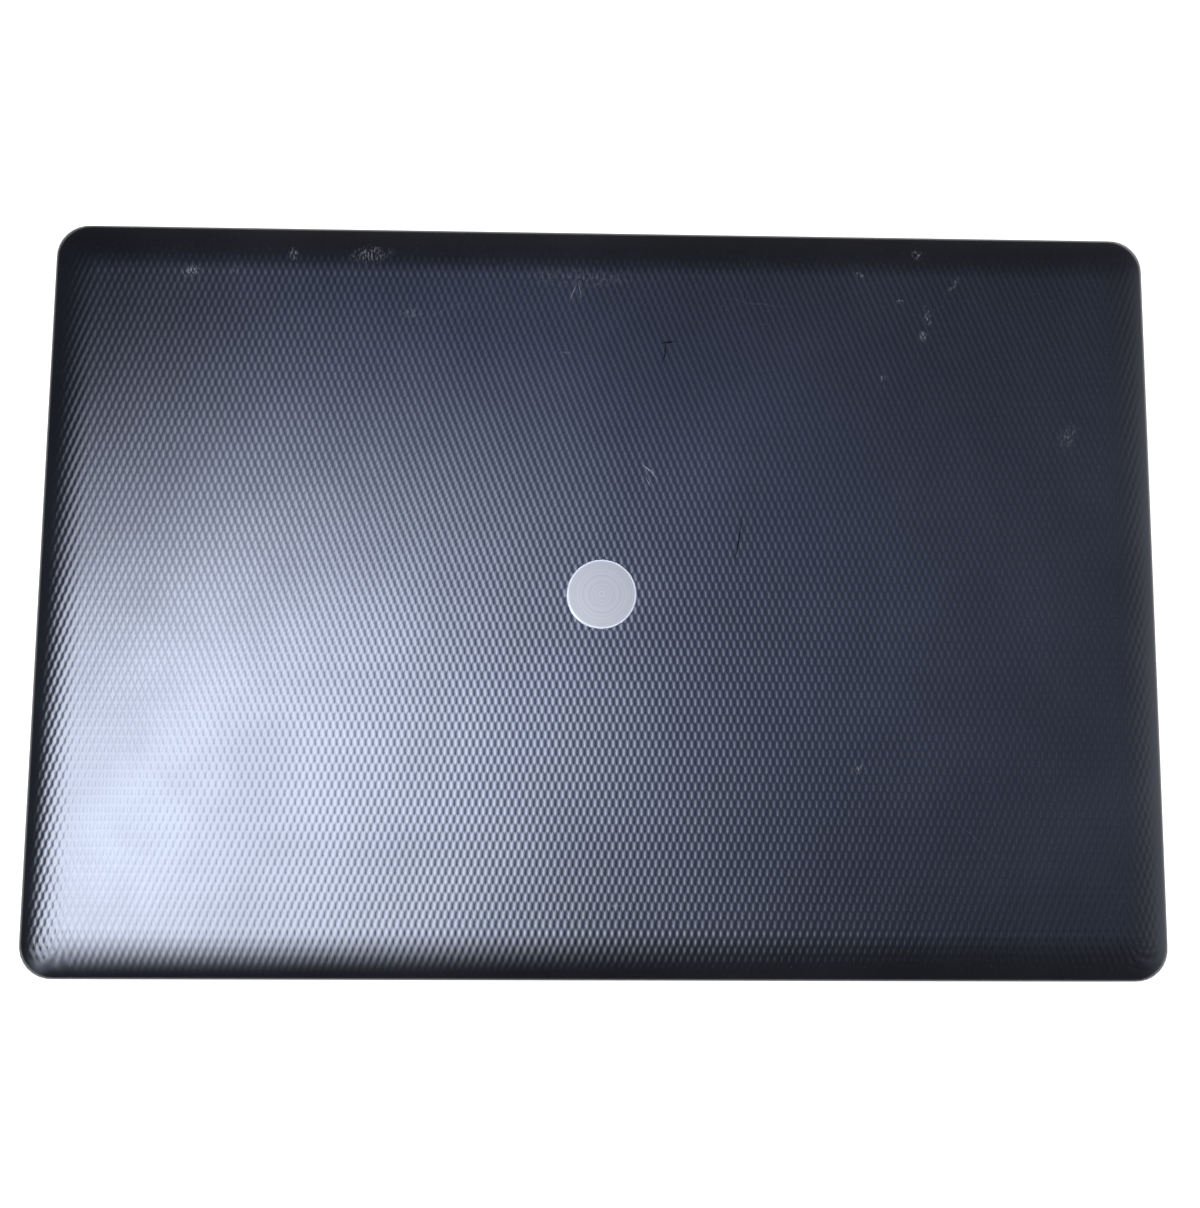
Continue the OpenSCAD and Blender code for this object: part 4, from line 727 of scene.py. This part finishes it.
# key legends: thin printed signs, one piece for each group of keys that moves by itself
legendStyle = {
    "thick": 0.03,            # of the ink
    "lift": 0.005,            # between the ink and the keycap
    "letter": 4.2,            # size of single signs
    "word": 2.5,              # size of words such as caps
    "small": 2.1,             # size of the function row's words
    "side": 2.2,              # from a keycap's left and rear edges to its sign
    "smallSide": 0.8,         # the same on the function row, as a part of side
    "tall": 0.7,              # height of a sign as a part of its size
    "arrow": 1.1,             # half width of an arrow key's triangle
}
legends = {
    "function_row_keys": ["esc"] + ["f" + str(n) for n in range(1, 13)]
                         + ["prt", "ins", "del", "home", "end", "pg up", "pg dn"],
    "number_row_keys": list("`1234567890-=") + ["backspace"],
    "top_letter_row_keys": ["tab"] + list("QWERTYUIOP[]\\"),
    "home_letter_row_keys": ["caps"] + list("ASDFGHJKL;'"),
    "enter_key": ["enter"],
    "left_shift_key": ["shift"],
    "bottom_letter_row_keys": list("ZXCVBNM,./") + ["shift"],
    "modifier_row_keys": ["ctrl", "fn", "", "alt", "alt gr", "ctrl"],
    "arrow_keys": ["<", "^", ">", "v"],
    "number_pad_keys": ["num", "/", "*", "-", "7", "8", "9", "+", "4", "5", "6", "1", "2", "3", "enter", "0", "."],
}


def signMesh(sign, size, thick):
    # vertices and faces of one sign, its lower left corner at the origin
    curve = bpy.data.curves.new("sign", "FONT")
    curve.body = sign
    curve.size = size * mm
    curve.extrude = thick * mm / 2
    curve.resolution_u = 3
    holder = bpy.data.objects.new("sign", curve)
    bpy.context.scene.collection.objects.link(holder)
    bpy.context.view_layer.update()
    mesh = holder.evaluated_get(bpy.context.evaluated_depsgraph_get()).to_mesh()
    verts = np.array([vert.co[:] for vert in mesh.vertices])
    faces = [list(face.vertices) for face in mesh.polygons]
    bpy.data.objects.remove(holder)
    bpy.data.curves.remove(curve)
    return verts - [verts[:, 0].min(), 0, 0], faces


def arrowMesh(sign, size, thick):
    # vertices and faces of a thick triangle around the origin
    turn = {"^": 0, "<": 90, "v": 180, ">": 270}[sign]
    spin = Matrix.Rotation(math.radians(turn), 2)
    flat = [spin @ Vector(point) * (size * mm) for point in [(-1, -0.8), (1, -0.8), (0, 0.9)]]
    verts = np.array([(p.x, p.y, side * thick * mm / 2) for side in (-1, 1) for p in flat])
    return verts, [[2, 1, 0], [3, 4, 5], [0, 1, 4, 3], [1, 2, 5, 4], [2, 0, 3, 5]]


def makeLegends(node, signs, style):
    isSmall = node.startswith("function")
    verts, faces, count = [], [], 0
    for sign, (low, high) in zip(signs, looseBoxes(node), strict=True):
        if not sign:
            continue
        if sign in "<>^v":
            shape, signFaces = arrowMesh(sign, style["arrow"], style["thick"])
            at = [(low[0] + high[0]) / 2, (low[1] + high[1]) / 2]
        else:
            wordSize = style["small"] if isSmall else style["word"]
            size = style["letter"] if len(sign) == 1 else wordSize
            shape, signFaces = signMesh(sign, size, style["thick"])
            side = style["side"] * mm * (style["smallSide"] if isSmall else 1)
            at = [low[0] + side, high[1] - side - style["tall"] * size * mm]
        verts.append(shape + [at[0], at[1], high[2] + (style["lift"] + style["thick"] / 2) * mm])
        faces += [[index + count for index in face] for face in signFaces]
        count += len(shape)
    words = node.split("_")
    name = words[0] + "".join(word.title() for word in words[1:]) + "Signs"
    bodies = frame["record"]["behaviour"]["bodies"]
    body = next(body for body, members in bodies.items() if node in members)
    return addMesh(name, np.concatenate(verts), faces, body, "key_ink", 30)


signPieces = [makeLegends(node, signs, legendStyle) for node, signs in legends.items()]
print("key signs made:", len(signPieces), "pieces")


# floor and light
studio = {
    "floor": {"colour": (0.86, 0.86, 0.86), "roughness": 0.9, "reach": 4, "paleness": 0.45},
    "diffuseLevel": 0.55,                 # light from all round on matt surfaces
    "aim": (0, 0, 0.02),                  # where both lamps point
    "key": {"at": (-0.7, -0.9, 1.5), "size": 1.4, "watts": 26},
    "fill": {"at": (0.9, 0.7, 1.3), "size": 1.2, "watts": 14},
    # what glossy surfaces mirror: a broad window, and the room that fades from overhead to the walls. Each glow has
    # the direction of its middle, how far it reaches and how square its shoulder is on either side along x and
    # along y, how much it leans back beyond leanFrom, how bright it is, and its colour
    "glows": [
        {"toward": (0.414, 0.087), "alongX": ((0.32, 2.35), (0.262, 3.2)), "alongY": ((0.25, 2.42), (0.342, 2.32)),
         "lean": 0.75, "strength": 16.2, "colour": (0.89, 0.975, 1.19)},
        {"toward": (0.068, -0.03), "alongX": ((0.54, 2.0), (0.49, 2.0)), "alongY": ((0.39, 4.0), (0.31, 3.0)),
         "lean": 0.0, "strength": 0.82, "colour": (0.7, 0.92, 1.62)},
        {"toward": (0.15, -0.02), "alongX": ((0.22, 2.0), (0.26, 2.0)), "alongY": ((0.32, 2.0), (0.28, 2.0)),
         "lean": 0.0, "strength": 0.5, "colour": (0.0, 0.08, 1.0)},
        {"toward": (-0.95, 0.1), "alongX": ((0.3, 2.0), (0.3, 2.0)), "alongY": ((0.5, 2.5), (0.5, 2.5)),
         "lean": 0.0, "strength": 0.8, "colour": (0.9, 0.95, 1.15)},
        {"toward": (0.1, -0.85), "alongX": ((1.0, 2.0), (1.0, 2.0)), "alongY": ((0.3, 2.0), (0.25, 2.0)),
         "lean": 0.0, "strength": 0.05, "colour": (1.0, 0.72, 0.5)},
    ],
    "leanFrom": 0.5,
    "walls": (0.1, 0.1, 0.115),
}


def isSeen(material):
    # 1 for what the camera sees directly or through glass
    path = addNode(material, "ShaderNodeLightPath")
    return calculate(material, "MAXIMUM", path.outputs["Is Camera Ray"], path.outputs["Is Transmission Ray"])


def makeFloor(setup):
    corners = [(x * setup["reach"], y * setup["reach"], 0) for x, y in ((-1, -1), (1, -1), (1, 1), (-1, 1))]
    mesh = bpy.data.meshes.new("floor")
    mesh.from_pydata(corners, [], [(0, 1, 2, 3)])
    floor = bpy.data.objects.new("floor", mesh)
    bpy.context.scene.collection.objects.link(floor)
    material, shader = newMaterial("paleFloor", setup["colour"], setup["roughness"])
    shader.inputs["Emission Color"].default_value = (1, 1, 1, 1)
    glow = calculate(material, "MULTIPLY", isSeen(material), setup["paleness"])
    join(material, glow, shader.inputs["Emission Strength"])
    mesh.materials.append(material)


def makeWorld(setup):
    world = bpy.data.worlds.new("world")
    bpy.context.scene.world = world
    world.use_nodes = True
    direction = addNode(world, "ShaderNodeTexCoord").outputs["Generated"]
    parts = addNode(world, "ShaderNodeSeparateXYZ")
    join(world, direction, parts.inputs[0])
    x, y, z = parts.outputs

    def times(a, b):
        return calculate(world, "MULTIPLY", a, b)

    def plus(a, b):
        return calculate(world, "ADD", a, b)

    def fall(value, middle, sides):
        # 0 at the glow's middle and 1 at its reach on either side
        away = plus(value, -middle)
        total = 0.0
        for sign, (reach, shoulder) in zip((-1, 1), sides):
            one = calculate(world, "MAXIMUM", times(away, sign / reach), 0.0)
            total = plus(calculate(world, "POWER", one, shoulder), total)
        return total

    levels = []
    for glow in setup["glows"]:
        middle = glow["toward"]
        leant = times(calculate(world, "MAXIMUM", plus(x, -setup["leanFrom"]), 0.0), -glow["lean"])
        gone = plus(fall(x, middle[0], glow["alongX"]), fall(plus(y, leant), middle[1], glow["alongY"]))
        level = times(calculate(world, "EXPONENT", times(gone, -1.0)), glow["strength"])
        levels.append(times(level, calculate(world, "GREATER_THAN", z, 0.0)))
    mirrored = addNode(world, "ShaderNodeCombineXYZ")
    for channel in range(3):
        shade = setup["walls"][channel]
        for level, glow in zip(levels, setup["glows"]):
            shade = plus(times(level, glow["colour"][channel]), shade)
        join(world, shade, mirrored.inputs[channel])
    isGlossy = addNode(world, "ShaderNodeLightPath").outputs["Is Glossy Ray"]
    light = blendColours(world, isGlossy, (setup["diffuseLevel"],) * 3, mirrored.outputs[0])
    background = world.node_tree.nodes["Background"]
    join(world, blendColours(world, isSeen(world), light, (1.0, 1.0, 1.0)), background.inputs["Color"])
    background.inputs["Strength"].default_value = 1


def makeLamp(name, setup, aim):
    data = bpy.data.lights.new(name, "AREA")
    data.size = setup["size"]
    data.energy = setup["watts"]
    lamp = bpy.data.objects.new(name, data)
    lamp.location = setup["at"]
    lamp.rotation_euler = (Vector(aim) - lamp.location).to_track_quat("-Z", "Y").to_euler()
    lamp.visible_camera = False
    lamp.visible_glossy = False
    bpy.context.scene.collection.objects.link(lamp)


makeFloor(studio["floor"])
makeWorld(studio)
makeLamp("keyLamp", studio["key"], studio["aim"])
makeLamp("fillLamp", studio["fill"], studio["aim"])
bpy.context.scene.view_settings.view_transform = "Standard"
print("floor and lamps made")
